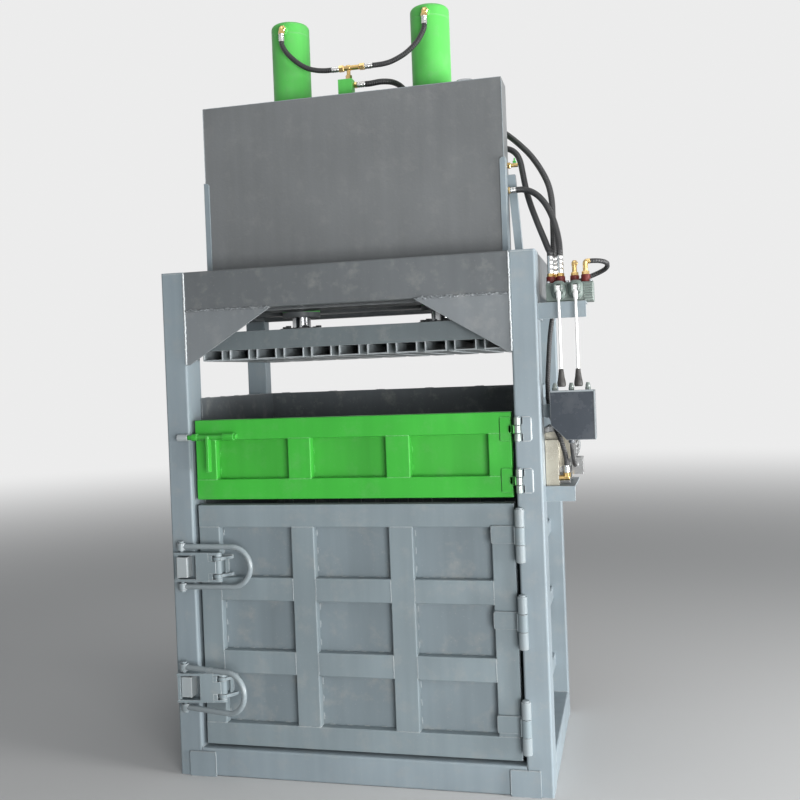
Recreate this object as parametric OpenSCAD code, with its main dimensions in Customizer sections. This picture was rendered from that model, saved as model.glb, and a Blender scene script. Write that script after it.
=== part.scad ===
// Vertical recycling baler: a welded press frame with a bale chamber, a green feed door
// over a ribbed bale door, a press platen driven by two upright hydraulic cylinders, an oil
// tank behind the header, and a hand valve, starter box and power pack on the right side.
// Origin: on the floor at the middle of the frame. +X right, +Y to the back, +Z up. Millimetres.

/* [Frame] */
// Width over the outer faces of the posts
frame_w = 1500; // [1400:10:1700]
// Depth over the front faces of the front posts and the back faces of the rear posts
frame_d = 920; // [880:10:1080]
// Height of the posts
post_h = 2025; // [1980:5:2200]
// Width of a post, across the front
post_w = 98; // [80:1:120]
// Depth of a front post
front_post_d = 130; // [110:1:150]
// Depth of a rear post
rear_post_d = 62; // [50:1:80]
// Wall of the posts and beams
tube_wall = 6; // [4:0.5:8]
// Height of the header beams
header_h = 158; // [120:1:180]
// Depth of the front header beam
header_d = 100; // [80:1:120]
// Reach of a header gusset along the header
gusset_run = 365; // [200:5:420]
// Reach of a header gusset down the post
gusset_drop = 215; // [120:5:260]
// Thickness of the gussets and the splice plates
gusset_t = 8; // [5:0.5:12]
// Height of the base beams
base_h = 112; // [90:1:130]
// Depth of the front base beam
base_d = 70; // [60:1:80]
// Half the width of the middle base beam
mid_base_half = 50; // [30:1:80]
// Width of a splice plate at the foot of a front post
splice_w = 112; // [90:1:130]
// Height of a splice plate
splice_h = 98; // [70:1:110]
// How far a splice plate stands past the inner face of the post
splice_lap = 60; // [40:1:70]

/* [Bale chamber] */
// Height of the top edge of the chamber walls above the floor
wall_top = 1517; // [1480:5:1560]
// Thickness of the wall sheets
sheet_t = 6; // [4:0.5:8]
// How far the side wall sheets lap behind the faces of the front posts
wall_lap = 112; // [90:1:125]
// Depth of the outside ribs
rib_d = 45; // [30:1:60]
// Height of the outside ribs
rib_h = 60; // [40:1:80]
// Number of ribs on each wall
rib_count = 5; // [3:1:6]
// Height of the lowest rib above the floor
rib_low = 230; // [150:10:300]
// Thickness of the floor plate
floor_t = 8; // [6:1:12]
// Number of floor channels and of platen channels
strap_bars = 11; // [9:1:11]
// Distance between the middles of neighbouring channels
strap_pitch = 116; // [105:1:118]
// Width of a channel, which leaves the strap slot beside it
strap_bar_w = 86; // [70:1:92]
// Height of a channel
strap_bar_h = 40; // [25:1:45]
// Wall of a channel
strap_wall = 5; // [3:0.5:8]

/* [Doors] */
// Gap between a door and the post beside it
door_side_gap = 15; // [10:1:20]
// How far the doors lie behind the faces of the posts
door_recess = 20; // [14:1:26]
// Gap between the base beam and the bale door
door_floor_gap = 10; // [6:1:20]
// Height of the bale door
bale_door_h = 966; // [900:2:990]
// Gap between the two doors
door_split = 22; // [15:1:30]
// Height of the feed door
feed_door_h = 319; // [280:1:340]
// Width of the outer uprights of the door grids
stile_w = 88; // [70:1:100]
// Width of the inner uprights of the door grids
bar_w = 95; // [70:1:110]
// Height of the top and bottom rails of the bale door
bale_rail_h = 90; // [70:1:110]
// Height of the middle rails of the bale door
bale_bar_h = 93; // [70:1:110]
// Height of the rails of the feed door
feed_rail_h = 81; // [60:1:95]
// Depth of the door grids
grid_d = 40; // [30:1:50]
// Wall of the channels that make the grids
grid_wall = 5; // [3:0.5:6]
// Thickness of the door skins
skin_t = 8; // [4:0.5:10]

/* [Hinges] */
// Radius of the bale door's hinge knuckles
bale_knuckle_r = 18; // [15:0.5:20]
// Length of one bale door knuckle
bale_knuckle_h = 64; // [50:1:75]
// Radius of the bale door's hinge pins
bale_pin_r = 9; // [6:0.5:12]
// Radius of the feed door's hinge knuckles
feed_knuckle_r = 12; // [10:0.5:14]
// Length of one feed door knuckle
feed_knuckle_h = 29; // [22:1:34]
// Radius of the feed door's hinge pins
feed_pin_r = 6; // [4:0.5:7]
// Height of the lowest bale door hinge above the door's bottom edge
hinge_low = 140; // [120:5:200]
// Height of the middle bale door hinge above the door's bottom edge
hinge_mid = 530; // [480:5:560]
// Distance from the door's top edge down to the highest bale door hinge
hinge_high = 115; // [110:5:160]
// Distance from the feed door's edges to the middles of its hinges
feed_hinge_inset = 64; // [55:1:100]
// Length of the middle leaves along the bale door's face
leaf_len = 88; // [60:1:100]
// Thickness of the bale door's leaves
leaf_t = 12; // [8:1:14]

/* [Door latches] */
// Height of the upper latch above the floor
latch_upper_z = 848; // [820:2:900]
// Height of the lower latch above the floor
latch_lower_z = 370; // [330:2:420]
// Distance from the door's left edge to the pins of the latch lugs
latch_inset = 97; // [90:1:110]
// Distance from a lug pin to the lever pins on its link
link_len = 157; // [150:1:165]
// Half the height of a link
link_half = 58; // [50:1:64]
// Thickness of a link's plates
link_t = 10; // [8:0.5:12]
// Radius of the round bar of the latch levers
lever_bar_r = 11; // [8:0.5:13]
// Radius of the bend of the latch levers
lever_bend_r = 80; // [78:1:90]
// Length of a latch lever from its pins to the middle of the bend
lever_len = 212; // [180:2:240]
// How far the lower lever stands open
lower_lever_open = 21; // [0:1:30]

/* [Feed door bolt] */
// Distance from the feed door's top edge down to the bolt
bolt_drop = 66; // [50:1:80]
// Radius of the bolt
bolt_r = 9; // [7:0.5:10]
// Radius of the bolt's guide tubes and keeper tube
guide_r = 14; // [13:0.5:16]
// Length of the bolt
bolt_len = 206; // [195:1:230]
// Length of the bolt's hanging handle
bolt_handle_len = 138; // [100:1:150]

/* [Press platen] */
// Gap between the platen and the side walls
platen_side_gap = 10; // [6:1:16]
// Distance from the faces of the posts back to the platen
platen_front = 92; // [90:1:110]
// Gap between the platen and the back wall
platen_back_gap = 23; // [10:1:40]
// How far the platen's working face hangs below the header beams at rest
platen_hang = 200; // [190:1:225]
// Height of the platen's box
platen_box_h = 75; // [60:1:80]
// Wall of the platen's box and its ribs
platen_wall = 12; // [8:1:16]
// Radius of a rod flange
flange_r = 95; // [80:1:105]
// Thickness of a rod flange
flange_t = 18; // [12:1:22]
// Number of bolts in a rod flange
flange_bolts_n = 6; // [4:1:8]
// Radius of a flange bolt's shank
flange_bolt_r = 8; // [5:0.5:9]

/* [Cylinders] */
// Distance from the middle of the frame to a cylinder's axis
cyl_x = 308; // [280:2:320]
// Place of the cylinders' axes, front to back
cyl_y = -35; // [-40:1:-30]
// Outer radius of a cylinder barrel
cyl_r = 81.5; // [78:0.5:84]
// Wall of a cylinder barrel
cyl_wall = 11.5; // [9:0.5:14]
// Height of the tops of the cylinders above the floor
cyl_top = 3105; // [3060:5:3160]
// Radius of the rounded shoulder at the top of a barrel
cyl_round = 18; // [8:1:25]
// Radius of a piston rod
rod_r = 40; // [32:0.5:45]
// Height of a piston
piston_h = 45; // [35:1:50]

/* [Oil tank] */
// Width of the oil tank
tank_w = 1250; // [1200:5:1270]
// Depth of the oil tank
tank_d = 140; // [130:1:145]
// Height of the oil tank
tank_h = 697; // [650:1:720]
// Wall of the oil tank
tank_wall = 4; // [3:0.5:6]
// Gap between the tank and the cylinder barrels
tank_gap = 13.5; // [10:0.5:16]
// Height of the tank's corner uprights
upright_h = 385; // [300:5:450]

/* [Right side equipment] */
// Width of the valve shelf
valve_shelf_w = 175; // [172:1:200]
// Height of the valve shelf's top above the floor
valve_shelf_z = 1828; // [1820:1:1835]
// Radius of a valve lever's rod
lever_rod_r = 5; // [4:0.5:6]
// Length of a valve lever below its pin
valve_lever_len = 358; // [340:2:360]
// Width of the starter box
box_w = 161; // [140:1:180]
// Height of the starter box
box_h = 180; // [160:1:182]
// Depth of the starter box
box_d = 95; // [80:1:96]
// Radius of the motor's body
motor_r = 90; // [80:1:92]
// Height of the motor's body
motor_h = 225; // [180:5:240]
// Radius of the fan on the motor's shaft
fan_r = 70; // [50:1:76]
// Height of the power pack shelf's top above the floor
pack_shelf_z = 1142; // [1130:1:1150]

/* [Hidden] */
$fn = 48;

steel_grey = [0.42, 0.45, 0.47];
door_green = [0.25, 0.66, 0.25];
bright_steel = [0.75, 0.76, 0.78];
brass_colour = [0.76, 0.58, 0.25];
rubber_black = [0.06, 0.06, 0.07];
light_metal = [0.68, 0.70, 0.70];

// Places that follow from the sizes above
half_w = frame_w / 2;
front = -frame_d / 2;
back = frame_d / 2;
post_in = half_w - post_w;
chamber_half = post_in - sheet_t;
header_z = post_h - header_h;
door_front = front + door_recess;
grid_back = door_front + grid_d;
skin_back = grid_back + skin_t;
door_w = 2 * (post_in - door_side_gap);
bale_z0 = base_h + door_floor_gap;
bale_z1 = bale_z0 + bale_door_h;
feed_z0 = bale_z1 + door_split;
feed_z1 = feed_z0 + feed_door_h;
run_clear = 0.08;
seat_clear = 0.3;

// Bale door hinges: the axis stands in front of the post's face
bale_axis_x = post_in + 8;
bale_axis_y = front - bale_knuckle_r;
bale_hinges = [bale_z0 + hinge_low, bale_z0 + hinge_mid, bale_z1 - hinge_high];
knuckle_gap = 2;

// Feed door hinges
feed_axis_x = post_in + 12;
feed_axis_y = front - feed_knuckle_r;
feed_hinges = [feed_z0 + feed_hinge_inset, feed_z1 - feed_hinge_inset];
feed_knuckle_gap = 1;
feed_leaf_t = 5;

// Latches: lug pin, keeper and link places, seen from the lug pin
latch_x = -door_w / 2 + latch_inset;
latch_y = front - 22;
latch_pin_r = 8;
lever_pin_r = 7;
lug_z0 = 28;
lug_t = 12;
lug_r = 20;
link_eye_r = 16;
link_front = -18;
link_back = 16;
cross_t = 12;
link_end = link_len + 27;
cross_in = link_end - cross_t;
hook_gap = 4;
hook_tip = cross_in - hook_gap;
hook_web_in = hook_tip - 20;
hook_web_t = 24;
hook_half = 40;
face_plate_x = 35;
face_plate_w = 55;
lever_eye_r = 17;
lever_eye_h = 28;
lever_ratio = 3;
lower_link_open = lower_lever_open / lever_ratio;

// Bolt
bolt_y = front - guide_r - 2;
bolt_z = feed_z1 - bolt_drop;
keeper_x0 = -post_in - 43;
keeper_x1 = -post_in;
bolt_tip = keeper_x1 + 1.5;
guide_bore_r = bolt_r + 0.1;
guide_a_x = -door_w / 2 + 5;
guide_a_len = 22;
guide_b_x = -door_w / 2 + 137;
guide_b_len = 45;
handle_x = -door_w / 2 + 67;
handle_t = 10;
handle_w = 30;

// Platen and cylinders
platen_half = chamber_half - platen_side_gap;
platen_y0 = front + platen_front;
wall_back_in = back - sheet_t - 1;
platen_y1 = wall_back_in - platen_back_gap;
platen_z = header_z - platen_hang;
platen_box_z = platen_z + strap_bar_h;
platen_top = platen_box_z + platen_box_h;
rod_z0 = platen_box_z + platen_wall;
flange_top = platen_top + flange_t;
bolt_circle_r = flange_r - 19;
bolt_depth = 38;
platen_rib_y = flange_r + 12;
bore_r = cyl_r - cyl_wall;
barrel_z = header_z + 1;
gland_h = 40;
gland_flange = 22;
piston_z = cyl_top - 105;
port_z = cyl_top - 40;

port_boss_r = 16;
hose_y = cyl_y - 115;
beam_gap = cyl_r + tank_gap;
collar_t = 25;
saddle_t = 40;
saddle_half = 150;
collar_r = beam_gap - 2;
rear_beam_d = 80;

// Oil tank
tank_y1 = cyl_y - beam_gap;
tank_y0 = tank_y1 - tank_d;
tank_z0 = post_h;
tank_top = tank_z0 + tank_h;
front_beam_y0 = tank_y0 - 10;

// Right side equipment
valve_x0 = half_w + 30;
valve_w = 173;
valve_y0 = front + 60;
valve_y1 = front + 160;
valve_h = 72;
valve_top = valve_shelf_z + valve_h;
lever_x = [half_w + 79, half_w + 140];
lever_y = front + 10;
lever_z = valve_shelf_z + 47;
grip_h = 65;
box_x0 = half_w + 34;
box_y0 = front + 30;
box_z0 = 1320;
box_cut = 56;
shelf_t = 6;
pump_y0 = front + 110;
pump_face = front + 160;
motor_x = half_w + 26;
motor_y = pump_face + 8;
motor_z = pack_shelf_z + motor_r + 40;
motor_end = motor_y + motor_h;
pack_shelf_x1 = half_w + 110;
shaft_r = 12;
hose_r = 10.5;
side_hose_r = 12;
pump_hose_r = 9;
cable_r = 6.5;

module box(x0, x1, y0, y1, z0, z1) {
    translate([x0, y0, z0]) cube([x1 - x0, y1 - y0, z1 - z0]);
}

// A square tube along one axis: the outer box less its bore, open at both ends
module tube_x(x0, x1, y0, y1, z0, z1, t = tube_wall) {
    difference() {
        box(x0, x1, y0, y1, z0, z1);
        box(x0 - 1, x1 + 1, y0 + t, y1 - t, z0 + t, z1 - t);
    }
}

module tube_y(x0, x1, y0, y1, z0, z1, t = tube_wall) {
    difference() {
        box(x0, x1, y0, y1, z0, z1);
        box(x0 + t, x1 - t, y0 - 1, y1 + 1, z0 + t, z1 - t);
    }
}

// A cylinder along X or Y between two places
module rod_x(x0, x1, r) {
    translate([x0, 0, 0]) rotate([0, 90, 0]) cylinder(r = r, h = x1 - x0);
}

module rod_y(y0, y1, r) {
    translate([0, y0, 0]) rotate([-90, 0, 0]) cylinder(r = r, h = y1 - y0);
}

// A front or rear post: a square tube with a welded cap
module post(x0, y0, y1) {
    difference() {
        box(x0, x0 + post_w, y0, y1, 0, post_h);
        box(x0 + tube_wall, x0 + post_w - tube_wall, y0 + tube_wall, y1 - tube_wall,
            -1, post_h - tube_wall);
    }
}

module post_front_left() {
    color(steel_grey) post(-half_w, front, front + front_post_d);
}

module post_front_right() {
    color(steel_grey) post(post_in, front, front + front_post_d);
}

module posts_rear() {
    color(steel_grey) for (x0 = [-half_w, post_in]) post(x0, back - rear_post_d, back);
}

// Front header beam between the front posts
module header_front() {
    color(steel_grey) tube_x(-post_in, post_in, front, front + header_d, header_z, post_h);
}

// Tapered gussets under the header, and splice plates at the feet of the front posts
module frame_gussets() {
    color(steel_grey) for (side = [-1, 1]) {
        translate([0, front + gusset_t, 0]) rotate([90, 0, 0])
            linear_extrude(gusset_t) polygon([
                [side * post_in, header_z], [side * (post_in - gusset_run), header_z],
                [side * (post_in - 12), header_z - gusset_drop],
                [side * post_in, header_z - gusset_drop]]);
        translate([side * (post_in + splice_w / 2 - splice_lap), 0, 0])
            box(-splice_w / 2, splice_w / 2, front - gusset_t, front, 0, splice_h);
    }
}

// Rear header beam and the two side header beams
module header_beams() {
    color(steel_grey) {
        tube_x(-post_in, post_in, back - rear_post_d, back, header_z, post_h);
        for (x0 = [-half_w, post_in])
            tube_y(x0, x0 + post_w, front + front_post_d, back - rear_post_d, header_z, post_h);
    }
}

// Two cross beams with the saddle plates that hold the cylinder barrels
module cylinder_beams() {
    color(steel_grey) {
        tube_x(-post_in, post_in, front_beam_y0, tank_y1, header_z, post_h);
        tube_x(-post_in, post_in, cyl_y + beam_gap, cyl_y + beam_gap + rear_beam_d,
            header_z, post_h);
        for (side = [-1, 1]) difference() {
            box(side * cyl_x - saddle_half, side * cyl_x + saddle_half,
                cyl_y - beam_gap, cyl_y + beam_gap, post_h - saddle_t, post_h);
            translate([side * cyl_x, cyl_y, post_h - saddle_t - 1])
                cylinder(r = cyl_r + seat_clear, h = saddle_t + 2);
        }
    }
}

// Base beams: front, middle, rear and the two sides
module base_beams() {
    color(steel_grey) {
        tube_x(-post_in, post_in, front, front + base_d, 0, base_h);
        tube_x(-post_in, post_in, -mid_base_half, mid_base_half, 0, base_h);
        tube_x(-post_in, post_in, back - rear_post_d, back, 0, base_h);
        for (x0 = [-half_w, post_in])
            tube_y(x0, x0 + post_w, front + front_post_d, back - rear_post_d, 0, base_h);
    }
}

// Side walls of the bale chamber: sheets on the inner faces of the posts
module side_wall(x0) {
    box(x0, x0 + sheet_t, front + wall_lap, wall_back_in, base_h + floor_t, wall_top);
}

module chamber_wall_left() {
    color(steel_grey) side_wall(-post_in);
}

module chamber_wall_right() {
    color(steel_grey) side_wall(post_in - sheet_t);
}

// Back wall of the bale chamber, with upright flats that line up with the channels
module chamber_wall_back() {
    color(steel_grey) {
        box(-post_in, post_in, wall_back_in, back, base_h + floor_t, wall_top);
        for (i = [0 : strap_bars - 1])
            translate([(i - (strap_bars - 1) / 2) * strap_pitch, 0, 0])
                box(-strap_bar_w / 4, strap_bar_w / 4, wall_back_in - 8, wall_back_in + 1,
                    base_h + floor_t + strap_bar_h + 5, bale_z1);
    }
}

// Ribs welded across the outside of the walls
rib_step = (wall_top - rib_h - rib_low) / (rib_count - 1);
module wall_ribs() {
    color(steel_grey) for (i = [0 : rib_count - 1]) {
        z0 = rib_low + i * rib_step;
        for (side = [-1, 1])
            translate([side * (post_in + rib_d / 2), 0, 0])
                tube_y(-rib_d / 2, rib_d / 2, front + front_post_d, back - rear_post_d,
                    z0, z0 + rib_h, 4);
        tube_x(-half_w + 30, half_w - 30, back, back + rib_d, z0, z0 + rib_h, 4);
    }
}

// A channel along Y with its open side up or down
module strap_channel(y0, y1, z0, open_up) {
    difference() {
        box(-strap_bar_w / 2, strap_bar_w / 2, y0, y1, z0, z0 + strap_bar_h);
        translate([0, 0, open_up ? strap_wall : -strap_wall])
            box(-strap_bar_w / 2 + strap_wall, strap_bar_w / 2 - strap_wall,
                y0 - 1, y1 + 1, z0, z0 + strap_bar_h);
    }
}

module strap_row(y0, y1, z0, open_up) {
    for (i = [0 : strap_bars - 1])
        translate([(i - (strap_bars - 1) / 2) * strap_pitch, 0, 0])
            strap_channel(y0, y1, z0, open_up);
}

// Floor plate with its row of channels, and the strap slots between them
floor_y0 = skin_back + 9;
module chamber_floor() {
    color(steel_grey) {
        box(-post_in, post_in, floor_y0, wall_back_in, base_h, base_h + floor_t);
        strap_row(floor_y0, wall_back_in, base_h + floor_t, false);
    }
}

// Knuckles of the bale door that are welded to the post, and the feed door's post leaves
module post_hinge_leaves() {
    color(steel_grey) {
        for (z = bale_hinges, side = [-1, 1]) difference() {
            union() {
                translate([bale_axis_x, bale_axis_y,
                    z + side * (bale_knuckle_h + knuckle_gap) - bale_knuckle_h / 2])
                    cylinder(r = bale_knuckle_r, h = bale_knuckle_h);
                translate([0, 0, z + side * (bale_knuckle_h + knuckle_gap)])
                    box(post_in + 1, post_in + 40, front - 9, front,
                        -bale_knuckle_h / 2, bale_knuckle_h / 2);
            }
            translate([bale_axis_x, bale_axis_y, z - 2 * bale_knuckle_h])
                cylinder(r = bale_pin_r + run_clear, h = 4 * bale_knuckle_h);
        }
        for (z = feed_hinges) difference() {
            union() {
                for (side = [-1, 1]) translate([feed_axis_x, feed_axis_y,
                    z + side * (feed_knuckle_h + feed_knuckle_gap) - feed_knuckle_h / 2])
                    cylinder(r = feed_knuckle_r, h = feed_knuckle_h);
                translate([0, 0, z]) {
                    for (side = [-1, 1])
                        translate([0, 0, side * (feed_knuckle_h + feed_knuckle_gap)])
                            box(feed_axis_x, feed_axis_x + 20, front - feed_leaf_t, front,
                                -feed_knuckle_h / 2, feed_knuckle_h / 2);
                    box(feed_axis_x + feed_knuckle_r + 1, feed_axis_x + 48,
                        front - feed_leaf_t, front, -feed_span / 2, feed_span / 2);
                }
            }
            translate([feed_axis_x, feed_axis_y, z - feed_span])
                cylinder(r = feed_pin_r + run_clear, h = 2 * feed_span);
        }
    }
}

// Headed pins of all the door hinges
bale_span = 3 * bale_knuckle_h + 2 * knuckle_gap;
feed_span = 3 * feed_knuckle_h + 2 * feed_knuckle_gap;
module headed_pin(r, span, head_r, head_h) {
    translate([0, 0, -span / 2 - 2]) cylinder(r = r, h = span + 3);
    translate([0, 0, span / 2]) cylinder(r = head_r, h = head_h);
}

module hinge_pins() {
    color(steel_grey) {
        for (z = bale_hinges) translate([bale_axis_x, bale_axis_y, z])
            headed_pin(bale_pin_r, bale_span, bale_pin_r + 4, 5);
        for (z = feed_hinges) translate([feed_axis_x, feed_axis_y, z])
            headed_pin(feed_pin_r, feed_span, feed_pin_r + 3, 3);
    }
}

// Hooked latch keepers and the bolt's keeper tube, on the left front post
module latch_keeper() {
    translate([-hook_web_in, 0, 0])
        box(0, hook_web_t, -25, front - latch_y, -hook_half, hook_half);
    box(-hook_tip, -hook_web_in + 1, -25, -13, -hook_half, hook_half);
}

module post_keepers() {
    color(steel_grey) {
        for (z = [latch_upper_z, latch_lower_z]) translate([latch_x, latch_y, z])
            latch_keeper();
        difference() {
            union() {
                translate([0, bolt_y, bolt_z]) rod_x(keeper_x0, keeper_x1, guide_r);
                box(keeper_x0 + 5, keeper_x1 - 5, bolt_y, front, bolt_z - 8, bolt_z + 8);
            }
            translate([0, bolt_y, bolt_z]) rod_x(keeper_x0 - 1, keeper_x1 + 1, bolt_r + 2);
        }
    }
}

// Start of bar i along a grid of n windows between bars: ends e, inner bars b, whole length w
function window(w, n, e, b) = (w - 2 * e - (n - 1) * b) / n;
function bar_at(i, w, n, e, b) = i == 0 ? 0 : e + i * window(w, n, e, b) + (i - 1) * b;
function bar_size(i, n, e, b) = (i == 0 || i == n) ? e : b;

// A door grid of welded channels, open at the back, with square windows right through
module door_grid(h, rows, rail, mid) {
    cols = 3;
    win_w = window(door_w, cols, stile_w, bar_w);
    win_h = window(h, rows, rail, mid);
    translate([-door_w / 2, door_front, 0]) difference() {
        cube([door_w, grid_d, h]);
        for (i = [0 : cols - 1], j = [0 : rows - 1])
            translate([stile_w + i * (win_w + bar_w), -1, rail + j * (win_h + mid)])
                cube([win_w, grid_d + 2, win_h]);
        for (i = [0 : cols])
            translate([bar_at(i, door_w, cols, stile_w, bar_w) + grid_wall, grid_wall,
                grid_wall])
                cube([bar_size(i, cols, stile_w, bar_w) - 2 * grid_wall, grid_d,
                    h - 2 * grid_wall]);
        for (j = [0 : rows])
            translate([grid_wall, grid_wall, bar_at(j, h, rows, rail, mid) + grid_wall])
                cube([door_w - 2 * grid_wall, grid_d,
                    bar_size(j, rows, rail, mid) - 2 * grid_wall]);
    }
}

module bale_door_grid() {
    color(steel_grey) translate([0, 0, bale_z0])
        door_grid(bale_door_h, 3, bale_rail_h, bale_bar_h);
}

module bale_door_skin() {
    color(steel_grey)
        box(-door_w / 2, door_w / 2, grid_back, skin_back, bale_z0, bale_z1);
}

// Middle knuckles of the bale door, each with a leaf along the door's face
module bale_door_leaves() {
    web_x1 = post_in - 2;
    color(steel_grey) for (z = bale_hinges) translate([0, 0, z - bale_knuckle_h / 2])
        difference() {
            union() {
                translate([bale_axis_x, bale_axis_y, 0])
                    cylinder(r = bale_knuckle_r, h = bale_knuckle_h);
                box(web_x1 - 12, web_x1, bale_axis_y - 2, door_front, 0, bale_knuckle_h);
                box(door_w / 2 - leaf_len, web_x1, door_front - leaf_t, door_front,
                    0, bale_knuckle_h);
            }
            translate([bale_axis_x, bale_axis_y, -1])
                cylinder(r = bale_pin_r + run_clear, h = bale_knuckle_h + 2);
        }
}

// Eared lugs on the bale door, with the pins that carry the latch links
module latch_lug() {
    for (side = [-1, 1]) translate([0, 0, side * (lug_z0 + lug_t / 2)]) difference() {
        union() {
            translate([0, 0, -lug_t / 2]) cylinder(r = lug_r, h = lug_t);
            box(-lug_r, lug_r, 0, door_front - latch_y, -lug_t / 2, lug_t / 2);
        }
        translate([0, 0, -lug_t]) cylinder(r = latch_pin_r + run_clear, h = 2 * lug_t);
    }
    translate([0, 0, -lug_z0 - lug_t - 2])
        cylinder(r = latch_pin_r, h = 2 * (lug_z0 + lug_t) + 3);
    translate([0, 0, lug_z0 + lug_t]) cylinder(r = latch_pin_r + 4, h = 6);
}

module latch_lugs() {
    color(steel_grey) for (z = [latch_upper_z, latch_lower_z])
        translate([latch_x, latch_y, z]) latch_lug();
}

// A latch link: two long plates, a cross plate at the post end, a face plate and an eye
module latch_link(z, open) {
    translate([latch_x, latch_y, z]) rotate([0, 0, open]) difference() {
        union() {
            for (side = [-1, 1]) translate([0, 0, side * (link_half - link_t / 2)])
                box(-link_end, -face_plate_x, link_front, link_back,
                    -link_t / 2, link_t / 2);
            box(-link_end, -cross_in, -10, link_back, -link_half, link_half);
            box(-face_plate_x - face_plate_w, -face_plate_x, link_front, link_front + 10,
                -link_half + 1, link_half - 1);
            box(-face_plate_x - 1, -4, link_front, link_front + 10, -24, 24);
            translate([0, 0, -lug_z0 + 2])
                cylinder(r = link_eye_r, h = 2 * lug_z0 - 4);
            for (side = [-1, 1]) translate([-link_len, 0, 0]) {
                mirror([0, 0, side < 0 ? 1 : 0]) {
                    translate([0, 0, link_half - 1])
                        cylinder(r = lever_pin_r, h = lever_head_z - link_half + 2);
                    translate([0, 0, lever_head_z]) cylinder(r = lever_pin_r + 4, h = 5);
                }
            }
        }
        translate([0, 0, -lug_z0]) cylinder(r = latch_pin_r + run_clear, h = 2 * lug_z0);
    }
}
lever_head_z = lever_bend_r + lever_eye_h / 2 + 2;

module latch_link_upper() {
    color(steel_grey) latch_link(latch_upper_z, 0);
}

module latch_link_lower() {
    color(steel_grey) latch_link(latch_lower_z, lower_link_open);
}

// A latch lever: round bar bent to a U, with an eye at each end
module latch_lever(z, link_open, lever_open) {
    translate([latch_x, latch_y, z]) rotate([0, 0, link_open])
        translate([-link_len, 0, 0]) rotate([0, 0, -lever_open]) difference() {
            union() {
                for (side = [-1, 1]) translate([0, 0, side * lever_bend_r]) {
                    rod_x(0, lever_len, lever_bar_r);
                    translate([0, 0, -lever_eye_h / 2])
                        cylinder(r = lever_eye_r, h = lever_eye_h);
                }
                translate([lever_len, 0, 0]) rotate([90, 0, 0]) rotate([0, 0, -90])
                    rotate_extrude(angle = 180) translate([lever_bend_r, 0])
                        circle(r = lever_bar_r);
            }
            translate([0, 0, -2 * lever_bend_r])
                cylinder(r = lever_pin_r + run_clear, h = 4 * lever_bend_r);
        }
}

module latch_lever_upper() {
    color(steel_grey) latch_lever(latch_upper_z, 0, 0);
}

module latch_lever_lower() {
    color(steel_grey) latch_lever(latch_lower_z, lower_link_open, lower_lever_open);
}

module feed_door_grid() {
    color(door_green) translate([0, 0, feed_z0]) door_grid(feed_door_h, 1, feed_rail_h, 0);
}

module feed_door_skin() {
    color(door_green)
        box(-door_w / 2, door_w / 2, grid_back, skin_back, feed_z0, feed_z1);
}

// Leaves of the feed door's hinges, each with its middle knuckle
module feed_door_leaves() {
    web_x1 = post_in - 2;
    color(door_green) for (z = feed_hinges) translate([0, 0, z]) difference() {
        union() {
            box(door_w / 2 - 41, door_w / 2 - 1, door_front - 6, door_front,
                -feed_span / 2, feed_span / 2);
            translate([0, 0, -feed_knuckle_h / 2]) {
                box(door_w / 2 - 10, web_x1, door_front - 6, door_front, 0, feed_knuckle_h);
                box(web_x1 - 7, web_x1, feed_axis_y - 6, door_front, 0, feed_knuckle_h);
                box(web_x1 - 7, feed_axis_x - 6, feed_axis_y - 6, feed_axis_y + 6,
                    0, feed_knuckle_h);
                translate([feed_axis_x, feed_axis_y, 0])
                    cylinder(r = feed_knuckle_r, h = feed_knuckle_h);
            }
        }
        translate([feed_axis_x, feed_axis_y, -feed_span])
            cylinder(r = feed_pin_r + run_clear, h = 2 * feed_span);
    }
}

// Guide tubes of the feed door's bolt, each on a block
module bolt_guide(x0, len) {
    difference() {
        union() {
            translate([0, bolt_y, bolt_z]) rod_x(x0, x0 + len, guide_r);
            box(x0, x0 + len, bolt_y, door_front, bolt_z - 8, bolt_z + 8);
        }
        translate([0, bolt_y, bolt_z]) rod_x(x0 - 1, x0 + len + 1, guide_bore_r);
    }
}

module bolt_guides() {
    color(door_green) {
        bolt_guide(guide_a_x, guide_a_len);
        bolt_guide(guide_b_x, guide_b_len);
    }
}

// Sliding bolt with its hanging flat handle
module feed_bolt() {
    color(door_green) {
        translate([0, bolt_y, bolt_z]) rod_x(bolt_tip, bolt_tip + bolt_len, bolt_r);
        box(handle_x, handle_x + handle_t, bolt_y - handle_w / 2, bolt_y + handle_w / 2,
            bolt_z - bolt_handle_len, bolt_z + 4);
    }
}

// Platen box: a tray of plates and ribs, with pads under the rod flanges
module platen_box() {
    color(steel_grey) difference() {
        union() {
            box(-platen_half, platen_half, platen_y0, platen_y1,
                platen_box_z, platen_box_z + platen_wall);
            for (y = [platen_y0, platen_y1 - platen_wall])
                box(-platen_half, platen_half, y, y + platen_wall, platen_box_z, platen_top);
            for (x = [-platen_half, -platen_wall / 2, platen_half - platen_wall])
                box(x, x + platen_wall, platen_y0, platen_y1, platen_box_z, platen_top);
            for (y = [cyl_y - platen_rib_y - platen_wall, cyl_y + platen_rib_y])
                box(-platen_half + 1, platen_half - 1, y, y + platen_wall,
                    platen_box_z, platen_top - 2);
            for (side = [-1, 1]) translate([side * cyl_x, cyl_y, platen_box_z])
                cylinder(r = flange_r, h = platen_box_h);
        }
        for (side = [-1, 1]) translate([side * cyl_x, cyl_y, 0]) {
            translate([0, 0, rod_z0]) cylinder(r = rod_r + run_clear, h = platen_box_h);
            bolt_ring(flange_bolt_r + run_clear, platen_top - bolt_depth - 2, platen_top + 1);
        }
    }
}

// A ring of round bars or holes on a rod flange's bolt circle
module bolt_ring(r, z0, z1) {
    for (i = [0 : flange_bolts_n - 1])
        rotate([0, 0, i * 360 / flange_bolts_n]) translate([bolt_circle_r, 0, z0])
            cylinder(r = r, h = z1 - z0);
}

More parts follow.
